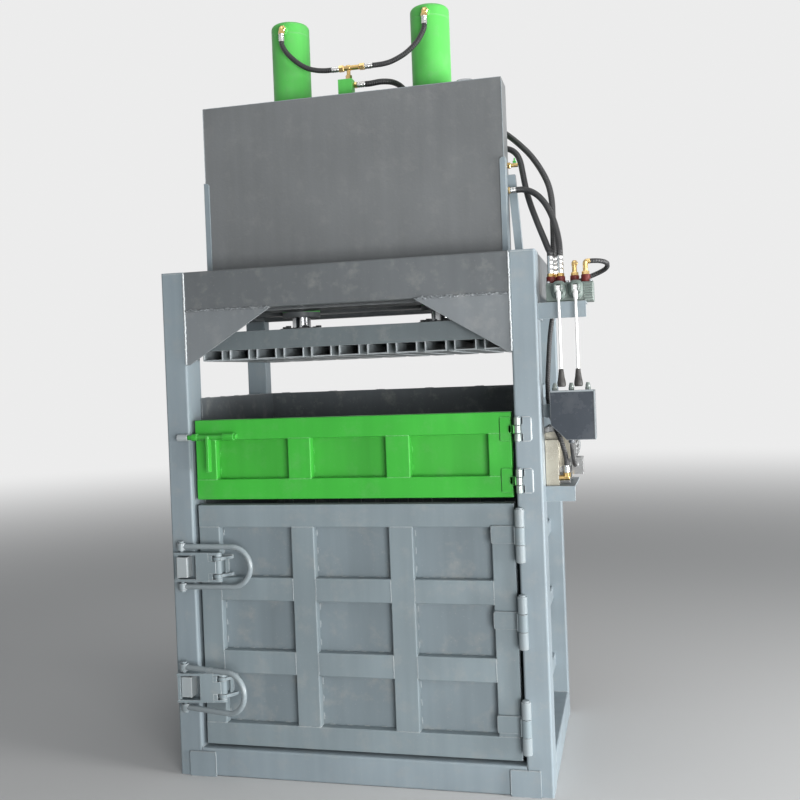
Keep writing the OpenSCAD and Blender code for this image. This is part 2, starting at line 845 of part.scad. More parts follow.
module platen_channels() {
    color(steel_grey) strap_row(platen_y0 + 2, platen_y1 - 2, platen_z, true);
}

// Flanges that tie the piston rods to the platen
module rod_flanges() {
    color(steel_grey) for (side = [-1, 1]) translate([side * cyl_x, cyl_y, 0])
        difference() {
            translate([0, 0, platen_top]) cylinder(r = flange_r, h = flange_t);
            translate([0, 0, platen_top - 1])
                cylinder(r = rod_r + run_clear, h = flange_t + 2);
            bolt_ring(flange_bolt_r + run_clear, platen_top - 1, flange_top + 1);
        }
}

module flange_bolts() {
    color(bright_steel) for (side = [-1, 1]) translate([side * cyl_x, cyl_y, 0]) {
        bolt_ring(flange_bolt_r, platen_top - bolt_depth, flange_top + 1);
        for (i = [0 : flange_bolts_n - 1])
            rotate([0, 0, i * 360 / flange_bolts_n])
                translate([bolt_circle_r, 0, flange_top])
                    cylinder(r = 1.6 * flange_bolt_r, h = 10, $fn = 6);
    }
}

// Piston rods, each with its piston
module piston_rods() {
    color(bright_steel) for (side = [-1, 1]) translate([side * cyl_x, cyl_y, 0]) {
        translate([0, 0, rod_z0]) cylinder(r = rod_r, h = piston_z + 2 - rod_z0);
        translate([0, 0, piston_z]) cylinder(r = bore_r - run_clear, h = piston_h);
    }
}

// Barrels: closed round tops, a thrust collar under the saddle plate, and two port bosses
module barrel() {
    difference() {
        union() {
            rotate_extrude($fn = 96) polygon(concat([[0, barrel_z], [cyl_r, barrel_z]],
                [for (a = [0 : 15 : 90])
                    [cyl_r - cyl_round + cyl_round * cos(a),
                        cyl_top - cyl_round + cyl_round * sin(a)]],
                [[0, cyl_top]]));
            translate([0, 0, post_h - saddle_t - collar_t])
                cylinder(r = collar_r, h = collar_t, $fn = 96);
            translate([0, 0, port_z]) rod_y(-cyl_r - 12, -bore_r - 2, port_boss_r);
            translate([0, 0, barrel_z + gland_h + 200])
                rod_y(bore_r + 2, cyl_r + 12, port_boss_r);
        }
        translate([0, 0, barrel_z - 1])
            cylinder(r = bore_r, h = cyl_top - 25 - barrel_z + 1, $fn = 96);
        translate([0, 0, port_z]) rod_y(-cyl_r - 13, -bore_r + 10, 7);
    }
}

module cylinder_barrels() {
    color(door_green) for (x = [-cyl_x, cyl_x]) translate([x, cyl_y, 0]) barrel();
}

// Rod glands in the lower ends of the barrels
module cylinder_glands() {
    color(bright_steel) for (side = [-1, 1]) translate([side * cyl_x, cyl_y, 0])
        difference() {
            union() {
                translate([0, 0, barrel_z - gland_flange])
                    cylinder(r = cyl_r, h = gland_flange);
                translate([0, 0, barrel_z - 1])
                    cylinder(r = bore_r - run_clear, h = gland_h + 1);
            }
            translate([0, 0, barrel_z - gland_flange - 1])
                cylinder(r = rod_r + run_clear, h = gland_h + gland_flange + 3);
        }
}

// Welded oil tank with a round filler neck hole in its top
cap_x = tank_w / 2 - 155;
cap_y = tank_y1 - 45;
neck_r = 25;
module oil_tank() {
    color(steel_grey) difference() {
        box(-tank_w / 2, tank_w / 2, tank_y0, tank_y1, tank_z0, tank_top);
        box(-tank_w / 2 + tank_wall, tank_w / 2 - tank_wall, tank_y0 + tank_wall,
            tank_y1 - tank_wall, tank_z0 + tank_wall, tank_top - tank_wall);
        translate([cap_x, cap_y, tank_top - tank_wall - 1])
            cylinder(r = neck_r, h = tank_wall + 2);
    }
}

// Filler cap, seated in the neck hole
module tank_cap() {
    color(bright_steel) translate([cap_x, cap_y, 0]) {
        translate([0, 0, tank_top - 15]) cylinder(r = neck_r - run_clear, h = 16);
        translate([0, 0, tank_top]) cylinder(r = neck_r + 10, h = 26);
    }
}

// Corner uprights in front of the tank, and slanted stays beside it
module tank_brackets() {
    side_x = tank_w / 2;
    color(steel_grey) for (side = [0, 1]) mirror([side, 0, 0]) {
        difference() {
            box(side_x - 16, side_x + 6, tank_y0 - 6, tank_y0 + 55,
                tank_z0, tank_z0 + upright_h);
            box(side_x - 17, side_x, tank_y0, tank_y0 + 56, tank_z0 - 1, tank_top);
            translate([side_x - 16, tank_y0 - 7, tank_z0 + upright_h - 8])
                rotate([0, -45, 0]) cube([30, 70, 30]);
        }
        translate([0, tank_y1 - 4, 0]) rotate([90, 0, 0]) linear_extrude(28)
            polygon([[side_x, tank_z0 + 305], [side_x, tank_z0 + 337],
                [side_x + 30, tank_z0 + 337], [side_x + 52, tank_z0],
                [side_x + 22, tank_z0]]);
    }
}

// Distribution block on the tank's top
block_x0 = -61;
block_x1 = -1;
block_y = tank_y1 - 15;
block_h = 90;
module port_block() {
    color(door_green)
        box(block_x0, block_x1, block_y - 28, block_y + 14, tank_top, tank_top + block_h);
}

// Hose ends, nuts, elbows and the tee
tee_z = 2862;
stem_x = -20;
ferrule_r = 12.5;
nut_r = 14;
return_x = 520;
return_y = tank_y1 + 35;
return_z = tank_z0 + 458;
side_port_y = tank_y1 - 70;
side_port_z = tank_z0 + 267;
valve_port_y = valve_y0 + 40;
port_b = [valve_x0 + 17, valve_port_y];
port_c = [port_b[0] + 36, valve_port_y];
port_a = [port_b[0] + 10, valve_y1 - 12];
elbow_x = valve_x0 + 105;
loop_x = valve_x0 + 146;
loop_y = valve_y0 + 20;
loop_z = valve_top + 75;
pump_half = 24;
pump_port_x = motor_x + 53;
pump_port_y = front + 122;
pump_port_z = pack_shelf_z + 28;

module top_elbow(x) {
    translate([x, 0, port_z]) rod_y(hose_y - 11, cyl_y - cyl_r - 12, 11);
    translate([x, hose_y, port_z - 22]) cylinder(r = 10, h = 22);
    translate([x, hose_y, port_z - 60]) cylinder(r = ferrule_r, h = 38);
}

module upright_end(x, y, ring_r) {
    translate([x, y, valve_top]) {
        cylinder(r = ring_r, h = 26);
        translate([0, 0, 25]) cylinder(r = nut_r, h = 14, $fn = 6);
        translate([0, 0, 38]) cylinder(r = ferrule_r, h = 67);
    }
}

module hose_fittings() {
    color(brass_colour) {
        for (x = [-cyl_x, cyl_x]) top_elbow(x);
        translate([0, hose_y, tee_z]) {
            rod_x(-40, 28, 10);
            rod_x(-61, -39, nut_r);
            rod_x(-92, -60, ferrule_r);
            rod_x(27, 51, nut_r);
            rod_x(50, 84, ferrule_r);
        }
        translate([stem_x, hose_y, tank_top + block_h]) {
            cylinder(r = 8, h = tee_z - tank_top - block_h);
            cylinder(r = nut_r, h = 20, $fn = 6);
        }
        translate([0, block_y, tank_top + 68]) {
            rod_x(block_x1, 16, 9);
            rod_x(15, 50, ferrule_r);
        }
        translate([return_x, 0, return_z]) rod_y(tank_y1, return_y + 12, 12);
        translate([0, return_y, return_z]) {
            rod_x(return_x, return_x + 26, 11);
            rod_x(return_x + 25, return_x + 65, ferrule_r);
        }
        translate([0, side_port_y, side_port_z]) {
            rod_x(tank_w / 2, tank_w / 2 + 14, nut_r);
            rod_x(tank_w / 2 + 13, tank_w / 2 + 37, ferrule_r);
        }
        translate([0, tank_y1 - 40, tank_z0 + 371]) {
            rod_x(tank_w / 2, tank_w / 2 + 20, 12);
            rod_x(tank_w / 2 + 19, tank_w / 2 + 43, 8);
        }
        upright_end(port_a[0], port_a[1], 15);
        upright_end(port_b[0], port_b[1], 17);
        upright_end(port_c[0], port_c[1], 17);
        for (p = [[elbow_x, valve_port_y], [loop_x, loop_y]])
            translate([p[0], p[1], valve_top]) {
                cylinder(r = 17, h = 26);
                translate([0, 0, 25]) cylinder(r = nut_r, h = 14, $fn = 6);
                translate([0, 0, 38]) cylinder(r = 9, h = 37);
                translate([0, 0, 75]) sphere(r = 10);
            }
        translate([elbow_x, 0, loop_z]) rod_y(valve_port_y, valve_port_y + 34, 9);
        translate([0, loop_y, loop_z]) rod_x(loop_x, loop_x + 18, 9);
        translate([0, pump_port_y, pump_port_z])
            rod_x(motor_x + pump_half, pump_port_x + 10, 10);
        translate([pump_port_x, pump_port_y, pump_port_z]) {
            cylinder(r = nut_r, h = 20, $fn = 6);
            translate([0, 0, 19]) cylinder(r = 11, h = 29);
        }
    }
}

// Hose routes: points chosen by hand, in millimetres, each from one fitting to the other
top_left_route = [[-308, -150, 3005], [-308, -150, 2995], [-300, -150, 2976],
    [-286, -150, 2954], [-264, -150, 2930], [-232, -150, 2902], [-196, -150, 2880],
    [-158, -150, 2868], [-125, -150, 2863], [-105, -150, 2862], [-92, -150, 2862]];
top_right_route = [[308, -150, 3005], [308, -150, 2995], [301, -150, 2976],
    [290, -150, 2957], [274, -150, 2936], [250, -150, 2914], [222, -150, 2894],
    [191, -150, 2879], [160, -150, 2868], [130, -150, 2863], [105, -150, 2862],
    [84, -150, 2862]];
main_route = [[50, -145, 2790], [72, -145, 2790], [115, -138, 2795], [152, -108, 2798],
    [172, -60, 2797], [183, -5, 2792], [204, 48, 2782], [246, 88, 2764],
    [304, 106, 2738], [364, 104, 2708], [420, 84, 2676], [472, 52, 2646],
    [522, 16, 2618], [572, -22, 2584], [620, -54, 2544], [668, -84, 2496],
    [714, -110, 2442], [755, -140, 2376], [785, -175, 2308], [799, -210, 2240],
    [803, -245, 2174], [806, -275, 2116], [807, -298, 2060], [807, -312, 2022],
    [807, -312, 2005]];
return_route = [[585, -95, 2483], [606, -95, 2483], [634, -99, 2474],
    [658, -108, 2452], [673, -120, 2418], [682, -135, 2374], [691, -152, 2326],
    [702, -173, 2276], [717, -203, 2226], [735, -242, 2176], [754, -284, 2126],
    [773, -320, 2078], [789, -346, 2036], [797, -360, 2018], [797, -360, 2005]];
tank_route = [[662, -200, 2292], [682, -200, 2292], [712, -205, 2284],
    [742, -218, 2264], [768, -240, 2234], [790, -267, 2196], [808, -294, 2152],
    [821, -320, 2106], [830, -344, 2060], [833, -360, 2022], [833, -360, 2005]];
pump_route = [[944, -380, 1975], [956, -380, 1975], [976, -374, 1974],
    [994, -359, 1971], [1004, -337, 1966], [1004, -312, 1959], [995, -290, 1951],
    [977, -273, 1943], [952, -263, 1934], [918, -260, 1922], [878, -260, 1904],
    [842, -260, 1876], [812, -260, 1838], [792, -260, 1788], [780, -260, 1728],
    [773, -262, 1664], [768, -268, 1600], [764, -280, 1535], [764, -292, 1475],
    [772, -306, 1415], [790, -318, 1362], [810, -328, 1312], [824, -335, 1266],
    [829, -338, 1236], [829, -338, 1218]];
cable_route = [[852, -365, 1303], [852, -365, 1294], [852, -362, 1279],
    [853, -355, 1261], [855, -345, 1243], [857, -333, 1227], [859, -320, 1217],
    [860, -312, 1214], [860, -306, 1214]];

function unit(v) = v / norm(v);
function ahead(path, i) = unit(path[min(i + 1, len(path) - 1)] - path[max(i - 1, 0)]);

// A round tube swept along a route: one ring of points square to the route at each point,
// turned so that its first point lies nearest to the side given
module swept_tube(path, r, side, sides = 10) {
    rings = len(path);
    points = [for (i = [0 : rings - 1]) let (t = ahead(path, i),
        u = unit(cross(t, side)), v = cross(t, u))
        for (k = [0 : sides - 1])
            path[i] + r * (cos(k * 360 / sides) * u + sin(k * 360 / sides) * v)];
    faces = concat(
        [[for (k = [0 : sides - 1]) sides - 1 - k]],
        [[for (k = [0 : sides - 1]) (rings - 1) * sides + k]],
        [for (i = [0 : rings - 2], k = [0 : sides - 1])
            [i * sides + k, i * sides + (k + 1) % sides,
                (i + 1) * sides + (k + 1) % sides]],
        [for (i = [0 : rings - 2], k = [0 : sides - 1])
            [i * sides + k, (i + 1) * sides + (k + 1) % sides, (i + 1) * sides + k]]);
    polyhedron(points, [for (f = faces) [for (n = [len(f) - 1 : -1 : 0]) f[n]]]);
}

module hose_top_left() {
    color(rubber_black) swept_tube(top_left_route, hose_r, [0, 1, 0]);
}

module hose_top_right() {
    color(rubber_black) swept_tube(top_right_route, hose_r, [0, 1, 0]);
}

module hose_main() {
    color(rubber_black) swept_tube(main_route, side_hose_r, [1, 1, 1]);
}

module hose_return() {
    color(rubber_black) swept_tube(return_route, side_hose_r, [1, 1, 1]);
}

module hose_tank() {
    color(rubber_black) swept_tube(tank_route, side_hose_r, [1, 1, 1]);
}

module hose_pump() {
    color(rubber_black) swept_tube(pump_route, pump_hose_r, [1, 1, -1]);
}

module motor_cable() {
    color(rubber_black) swept_tube(cable_route, cable_r, [1, 0, 0]);
}

// Folded shelves for the valve and the power pack, and the arm of the starter box
module folded_shelf(x0, x1, y0, y1, top, drop) {
    box(x0, x1, y0, y1, top - shelf_t, top);
    box(x0, x1, y0, y0 + shelf_t, top - drop, top);
    box(x0, x0 + shelf_t, y0, y1, top - drop, top);
}

module side_shelves() {
    color(steel_grey) {
        folded_shelf(half_w, half_w + valve_shelf_w, front + 40, front + 170,
            valve_shelf_z, 60);
        folded_shelf(half_w, pack_shelf_x1, pump_y0 - 20, motor_end + 5, pack_shelf_z, 57);
        for (y0 = [front + front_post_d, motor_end - 60])
            box(post_in, half_w, y0, y0 + 40, pack_shelf_z - 57, pack_shelf_z);
        box(half_w, box_x0, box_y0 + box_d - 20, box_y0 + box_d - 12,
            box_z0 + 80, box_z0 + 130);
    }
}

// Two-spool hand valve: cast body with a lever clevis at the front of each spool
module valve_block() {
    color(light_metal) {
        box(valve_x0, valve_x0 + valve_w, valve_y0, valve_y1, valve_shelf_z, valve_top);
        for (x = lever_x) translate([x, 0, lever_z]) difference() {
            union() {
                rod_y(valve_y0 - 25, valve_y0 + 1, 20);
                for (side = [-1, 1]) translate([side * 11.5, 0, 0])
                    box(-3.5, 3.5, lever_y - 12, valve_y0 - 24, -13, 13);
            }
            translate([0, lever_y, 0]) rod_x(-16, 16, 4);
        }
    }
}

// Valve levers: an eye on a cross pin, and a round rod down to the grip
module valve_lever(x) {
    translate([x, lever_y, lever_z]) {
        rod_x(-7.5, 7.5, 11);
        rod_x(-15.5, 15.5, 4 - run_clear);
        translate([0, 0, -valve_lever_len]) cylinder(r = lever_rod_r, h = valve_lever_len - 5);
    }
}

module valve_lever_left() {
    color(bright_steel) valve_lever(lever_x[0]);
}

module valve_lever_right() {
    color(bright_steel) valve_lever(lever_x[1]);
}

// Tapered rubber grips on the lower ends of the valve levers
module lever_grip(x) {
    color(rubber_black) translate([x, lever_y, lever_z - valve_lever_len - 2])
        difference() {
            rotate_extrude() polygon([[0, 0], [13, 0], [16, 4], [16, 14], [12, 36],
                [9, grip_h - 4], [8, grip_h], [0, grip_h]]);
            translate([0, 0, 1.9]) cylinder(r = lever_rod_r + run_clear, h = grip_h);
        }
}

// Starter box: a folded sheet box with a cut corner, open at the front
box_outline = [[0, box_cut], [box_cut, 0], [box_w, 0], [box_w, box_h], [0, box_h]];
module box_prism(y0, y1, inset) {
    translate([box_x0, y1, box_z0]) rotate([90, 0, 0]) linear_extrude(y1 - y0)
        polygon([[inset, box_cut + inset * 0.4], [box_cut + inset * 0.4, inset],
            [box_w - inset, inset], [box_w - inset, box_h - inset],
            [inset, box_h - inset]]);
}

module starter_box() {
    color(steel_grey) {
        difference() {
            box_prism(box_y0 + 3, box_y0 + box_d, 0);
            box_prism(box_y0 + 2, box_y0 + box_d - 3, 3);
        }
        translate([box_x0 + 68, box_y0 + 65, box_z0 - 17]) cylinder(r = 11, h = 17);
        for (x = [14, 75, 136]) translate([box_x0 + x, box_y0 + 55, box_z0 + box_h]) {
            cylinder(r = 10, h = 12, $fn = 6);
            cylinder(r = 6, h = 28);
        }
    }
}

module starter_box_cover() {
    color(steel_grey) box_prism(box_y0, box_y0 + 3, -1.5);
}

// Gear pump on the motor's front end, with its port block standing on the shelf
module pump() {
    color(light_metal) {
        box(motor_x - pump_half, motor_x + pump_half, pump_y0, pump_face,
            pack_shelf_z, motor_z + 42);
        translate([motor_x, 0, motor_z]) rod_y(pump_face - 1, motor_y, motor_r - 20);
    }
}

// Motor body with cooling fins, feet and a terminal box, bored for the shaft
fin_n = 28;
term_x0 = motor_x + 70;
term_x1 = motor_x + 112;
module motor() {
    color(light_metal) difference() {
        union() {
            translate([motor_x, 0, motor_z]) {
                rod_y(motor_y, motor_end, motor_r - 10);
                rod_y(motor_y, motor_y + 12, motor_r);
                rod_y(motor_end - 12, motor_end, motor_r);
                for (i = [0 : fin_n - 1]) rotate([0, i * 360 / fin_n, 0])
                    box(motor_r - 12, motor_r - 2, motor_y + 6, motor_end - 6, -1.5, 1.5);
            }
            for (y0 = [motor_y + 20, motor_end - 60])
                box(motor_x - 60, motor_x + 60, y0, y0 + 40, pack_shelf_z,
                    motor_z - motor_r + 35);
            box(term_x0, term_x1, motor_y + 2, motor_y + 66, motor_z - 94, motor_z - 30);
            translate([term_x1 - 28, 0, motor_z - 58])
                rod_y(motor_y - 14, motor_y + 3, 10);
        }
        translate([motor_x, 0, motor_z])
            rod_y(motor_y - 1, motor_end + 1, shaft_r + run_clear);
    }
}

// Fan cowl on the motor's rear end, with round air holes
cowl_h = 52;
module motor_cowl() {
    color(light_metal) translate([motor_x, motor_end, motor_z]) rotate([-90, 0, 0])
        difference() {
            cylinder(r = motor_r, h = cowl_h);
            translate([0, 0, -1]) cylinder(r = motor_r - 3, h = cowl_h - 2);
            cylinder(r = 12, h = cowl_h + 1);
            for (i = [0 : 11]) rotate([0, 0, i * 30]) translate([34, 0, 0])
                cylinder(r = 7, h = cowl_h + 1, $fn = 16);
            for (i = [0 : 17]) rotate([0, 0, i * 20]) translate([62, 0, 0])
                cylinder(r = 7, h = cowl_h + 1, $fn = 16);
        }
}

// Motor shaft with its cooling fan
module motor_rotor() {
    color(rubber_black) translate([motor_x, motor_y, motor_z]) rotate([-90, 0, 0]) {
        translate([0, 0, 2]) cylinder(r = shaft_r, h = motor_h + 36);
        translate([0, 0, motor_h + 6]) {
            cylinder(r = 26, h = 26);
            for (i = [0 : 7]) rotate([0, 0, i * 45])
                translate([20, -1.5, 2]) cube([fan_r - 20, 3, 22]);
        }
    }
}

post_front_left();
post_front_right();
posts_rear();
header_front();
frame_gussets();
header_beams();
cylinder_beams();
base_beams();
chamber_wall_left();
chamber_wall_right();
chamber_wall_back();
wall_ribs();
chamber_floor();
post_hinge_leaves();
hinge_pins();
post_keepers();
bale_door_grid();
bale_door_skin();
bale_door_leaves();
latch_lugs();
latch_link_upper();
latch_link_lower();
latch_lever_upper();
latch_lever_lower();
feed_door_grid();
feed_door_skin();
feed_door_leaves();
bolt_guides();
feed_bolt();
platen_box();
platen_channels();
rod_flanges();
flange_bolts();
piston_rods();
cylinder_barrels();
cylinder_glands();
oil_tank();
tank_brackets();
tank_cap();
port_block();
hose_fittings();
hose_top_left();
hose_top_right();
hose_main();
hose_return();
hose_tank();
hose_pump();
motor_cable();
side_shelves();
valve_block();
valve_lever_left();
valve_lever_right();
lever_grip(lever_x[0]);  // lever_grip_left
lever_grip(lever_x[1]);  // lever_grip_right
starter_box();
starter_box_cover();
pump();
motor();
motor_cowl();
motor_rotor();
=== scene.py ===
import math

import bpy
import bmesh
import numpy as np
from mathutils import Matrix, Vector


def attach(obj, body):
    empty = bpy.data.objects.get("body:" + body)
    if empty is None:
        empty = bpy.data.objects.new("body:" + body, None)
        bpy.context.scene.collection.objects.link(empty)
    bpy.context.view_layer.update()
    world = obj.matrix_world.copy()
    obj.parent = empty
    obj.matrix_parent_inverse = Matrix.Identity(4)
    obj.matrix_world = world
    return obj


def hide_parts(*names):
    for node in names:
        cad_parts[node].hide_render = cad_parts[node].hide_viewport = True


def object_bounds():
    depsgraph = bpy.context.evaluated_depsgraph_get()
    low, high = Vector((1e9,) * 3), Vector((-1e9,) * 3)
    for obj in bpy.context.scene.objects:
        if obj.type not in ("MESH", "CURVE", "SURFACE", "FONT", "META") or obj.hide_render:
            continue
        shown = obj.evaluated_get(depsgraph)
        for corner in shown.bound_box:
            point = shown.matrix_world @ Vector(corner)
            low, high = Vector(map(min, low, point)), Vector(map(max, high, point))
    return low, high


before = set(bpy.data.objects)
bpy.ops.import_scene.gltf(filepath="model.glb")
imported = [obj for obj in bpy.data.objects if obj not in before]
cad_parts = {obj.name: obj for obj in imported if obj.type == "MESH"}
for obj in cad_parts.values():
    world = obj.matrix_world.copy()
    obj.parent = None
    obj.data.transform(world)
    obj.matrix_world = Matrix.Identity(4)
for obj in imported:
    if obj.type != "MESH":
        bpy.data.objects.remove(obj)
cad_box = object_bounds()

MM = 0.001

# ---- Viewpoint and room
# A camera at standing height in front of the machine, a little right of it and turned left, on a
# plain pale floor. Its place and its slight roll were solved from the frame's straight edges.
def look(yaw, pitch, roll):
    """Camera axes right, up and ahead, from three angles in degrees.

    Ahead follows from yaw and pitch, and the roll then turns right and up about it.
    """
    y, p, r = np.radians([yaw, pitch, roll])
    ahead = np.array([-np.sin(y) * np.cos(p), np.cos(y) * np.cos(p), -np.sin(p)])
    flat = np.array([np.cos(y), np.sin(y), 0.0])
    over = np.cross(flat, ahead)
    return flat * np.cos(r) + over * np.sin(r), over * np.cos(r) - flat * np.sin(r), ahead


def placed(name, data):
    """A new object in the scene that holds data."""
    made = bpy.data.objects.new(name, data)
    bpy.context.scene.collection.objects.link(made)
    return made


right, up, ahead = look(13.6806, 0.738, -2.1833)
eye = (1.0835, -3.9935, 1.5746)
cam_data = bpy.data.cameras.new("viewpoint")
cam_data.sensor_width = 36.0
cam_data.lens = 43.147
cam_data.shift_y = -0.0137
cam_data.clip_end = 200.0
cam = placed("viewpoint", cam_data)
cam.matrix_world = Matrix([[*row, c] for row, c in zip(
    np.stack([right, up, -ahead], axis=1).tolist(), eye)] + [[0, 0, 0, 1]])
bpy.context.scene.camera = cam


def node(tree, kind, values=None, **settings):
    """A shader node: values gives each input a number or another node's output."""
    made = tree.nodes.new("ShaderNode" + kind)
    for key, value in settings.items():
        setattr(made, key, value)
    for key, value in (values or {}).items():
        socket = made.inputs[key]
        if isinstance(value, bpy.types.NodeSocket):
            tree.links.new(value, socket)
        else:
            socket.default_value = value
    return made


def calc(tree, operation, a, b=0.0, clamp=False):
    """One Math node on a and b."""
    return node(tree, "Math", {0: a, 1: b}, operation=operation, use_clamp=clamp).outputs[0]


def mixed(tree, factor, a, b):
    """Colour a at factor 0, colour b at factor 1."""
    return node(tree, "Mix", {0: factor, 6: a, 7: b}, data_type="RGBA").outputs[2]


def mapped(tree, value, low, high, to_low=0.0, to_high=1.0, **settings):
    """The range from low to high stretched to the range from to_low to to_high, and held there."""
    return node(tree, "MapRange", {0: value, 1: low, 2: high, 3: to_low, 4: to_high},
                **settings).outputs[0]


def noise(tree, place, scale, detail=2.0, roughness=0.5):
    """Noise from 0 to 1 at a place; detail is how many finer layers are added."""
    return node(tree, "TexNoise", {"Vector": place, "Scale": scale, "Detail": detail,
                                   "Roughness": roughness}).outputs[0]


def object_place(tree):
    """Where on the object a ray hits, in metres along its own axes."""
    return node(tree, "TexCoord").outputs["Object"]


def new_material(name):
    """A material with an empty node tree, and that tree."""
    made = bpy.data.materials.new(name)
    made.use_nodes = True
    made.node_tree.nodes.clear()
    return made, made.node_tree


def surface(tree, values):
    """A Principled shader with these values, joined to the material's output."""
    shade = node(tree, "BsdfPrincipled", values)
    node(tree, "OutputMaterial", {0: shade.outputs[0]})


def background_rays(tree):
    """1 for rays that show the room: from the camera, off a glossy surface or through glass."""
    rays = node(tree, "LightPath").outputs
    return calc(tree, "MAXIMUM", rays["Is Camera Ray"],
                calc(tree, "MAXIMUM", rays["Is Glossy Ray"], rays["Is Transmission Ray"]))


backdrop = (0.84, 0.84, 0.84, 1)
floor_mat, t = new_material("pale_floor")
seen = background_rays(t)
spot = node(t, "SeparateXYZ", {0: object_place(t)}).outputs
squares = [calc(t, "POWER", spot[axis], 2.0) for axis in (0, 1)]
away = calc(t, "SQRT", calc(t, "ADD", *squares))
fade = mapped(t, away, 3.5, 16.0, interpolation_type="SMOOTHSTEP")
floor_colour = mixed(t, seen, (0.34, 0.34, 0.34, 1), (0.58, 0.58, 0.575, 1))
near = node(t, "BsdfPrincipled", {"Base Color": floor_colour, "Roughness": 0.9})
far = node(t, "Emission", {"Color": backdrop})
ground = node(t, "MixShader", {0: calc(t, "MULTIPLY", fade, seen), 1: near.outputs[0],
                               2: far.outputs[0]})
node(t, "OutputMaterial", {0: ground.outputs[0]})
floor_mesh = bpy.data.meshes.new("floor")
reach = 60
floor_mesh.from_pydata([(-reach, -reach, 0), (reach, -reach, 0), (reach, reach, 0),
                        (-reach, reach, 0)], [], [(0, 1, 2, 3)])
floor_mesh.materials.append(floor_mat)
placed("floor", floor_mesh)

world = bpy.data.worlds.new("room_light")
bpy.context.scene.world = world
world.use_nodes = True
t = world.node_tree
t.nodes.clear()
sky = mixed(t, background_rays(t), (0.23, 0.24, 0.25, 1), backdrop)
node(t, "OutputWorld", {0: node(t, "Background", {"Color": sky, "Strength": 1.0}).outputs[0]})


def lamp(name, place, aim, size, power):
    """A square soft box of white light at place, turned to face aim."""
    data = bpy.data.lights.new(name, "AREA")
    data.shape, data.size, data.energy = "SQUARE", size, power
    made = placed(name, data)
    made.location = place
    made.rotation_euler = (Vector(aim) - Vector(place)).to_track_quat("-Z", "Y").to_euler()


lamp("open_side", (5.8, -1.3, 1.0), (0.0, -0.4, 0.9), 2.0, 430)
lamp("front_fill", (2.7, -4.8, 0.8), (0.0, 0.0, 0.8), 2.2, 262)
lamp("roof_light", (0.6, -0.8, 6.4), (0.0, -0.2, 1.0), 3.0, 55)
bpy.context.scene.view_settings.view_transform = "Standard"

# ---- Hydraulic hoses and the motor cable
# Rubber hoses with a wound cover, fixed in their fittings at both ends, and one rubber-sheathed
# cable. Each is one smooth tube along the route of its solid.
def ring_stack(rings, closed=False):
    """Quads between neighbouring rings of points, and one face at each end of an open stack."""
    k, n = rings.shape[:2]
    i = np.arange(k if closed else k - 1)[:, None]
    j = np.arange(n)[None, :]
    a, b = i * n + j, i * n + (j + 1) % n
    c, d = ((i + 1) % k) * n + (j + 1) % n, ((i + 1) % k) * n + j
    faces = np.stack([a, b, c, d], axis=-1).reshape(-1, 4).tolist()
    if not closed:
        faces += [list(range(n))[::-1], list(range((k - 1) * n, k * n))]
    return rings.reshape(-1, 3), faces


def piece(name, parts, mat, body="frame", replaces=(), angle=40.0):
    """Joins (points, faces) parts into one mesh object that rides on a body.

    Its edges are smooth where the faces turn by less than angle, in degrees.
    """
    points, faces, start = [], [], 0
    for p, f in parts:
        points.append(p)
        faces += [[v + start for v in face] for face in f]
        start += len(p)
    mesh = bpy.data.meshes.new(name)
    mesh.from_pydata(np.concatenate(points).tolist(), [], faces)
    turned = bmesh.new()
    turned.from_mesh(mesh)
    bmesh.ops.recalc_face_normals(turned, faces=turned.faces)
    turned.to_mesh(mesh)
    turned.free()
    mesh.shade_smooth()
    mesh.set_sharp_from_angle(angle=math.radians(angle))
    mesh.materials.append(mat)
    made = placed(name, mesh)
    made.modifiers.new("flat_faces", "WEIGHTED_NORMAL").keep_sharp = True
    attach(made, body)
    if replaces:
        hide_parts(*replaces)
    return made


def smooth_route(points, steps):
    """Catmull-Rom cubics through the points, kept within the box that the points span."""
    p = np.asarray(points, float) * MM
    p = np.concatenate([2 * p[:1] - p[1:2], p, 2 * p[-1:] - p[-2:-1]])
    s = np.linspace(0, 1, steps, endpoint=False)[:, None, None]
    a, b, c, d = p[None, :-3], p[None, 1:-2], p[None, 2:-1], p[None, 3:]
    spans = 0.5 * (2 * b + (c - a) * s + (2 * a - 5 * b + 4 * c - d) * s ** 2
                   + (3 * b - a - 3 * c + d) * s ** 3)
    curve = np.concatenate([spans.transpose(1, 0, 2).reshape(-1, 3), p[-2:-1]])
    return np.clip(curve, p[1:-1].min(axis=0), p[1:-1].max(axis=0))


def sweep(path, radius, sides):
    """A circle carried along a path without twist; radius is one number, or one for each point."""
    path = np.asarray(path, float)
    along = np.gradient(path, axis=0)
    along /= np.linalg.norm(along, axis=1)[:, None]
    any_way = [0.31, 0.17, 0.93]
    side = np.cross(along[0], any_way)
    u = []
    for direction in along:
        side = side - direction * (side @ direction)
        side = side / np.linalg.norm(side)
        u.append(side)
    u = np.array(u)
    v = np.cross(along, u)
    a = np.arange(sides) * 2 * np.pi / sides
    r = np.broadcast_to(radius, len(path))[:, None, None]
    rings = path[:, None] + r * (np.cos(a)[None, :, None] * u[:, None]
                                 + np.sin(a)[None, :, None] * v[:, None])
    return ring_stack(rings)


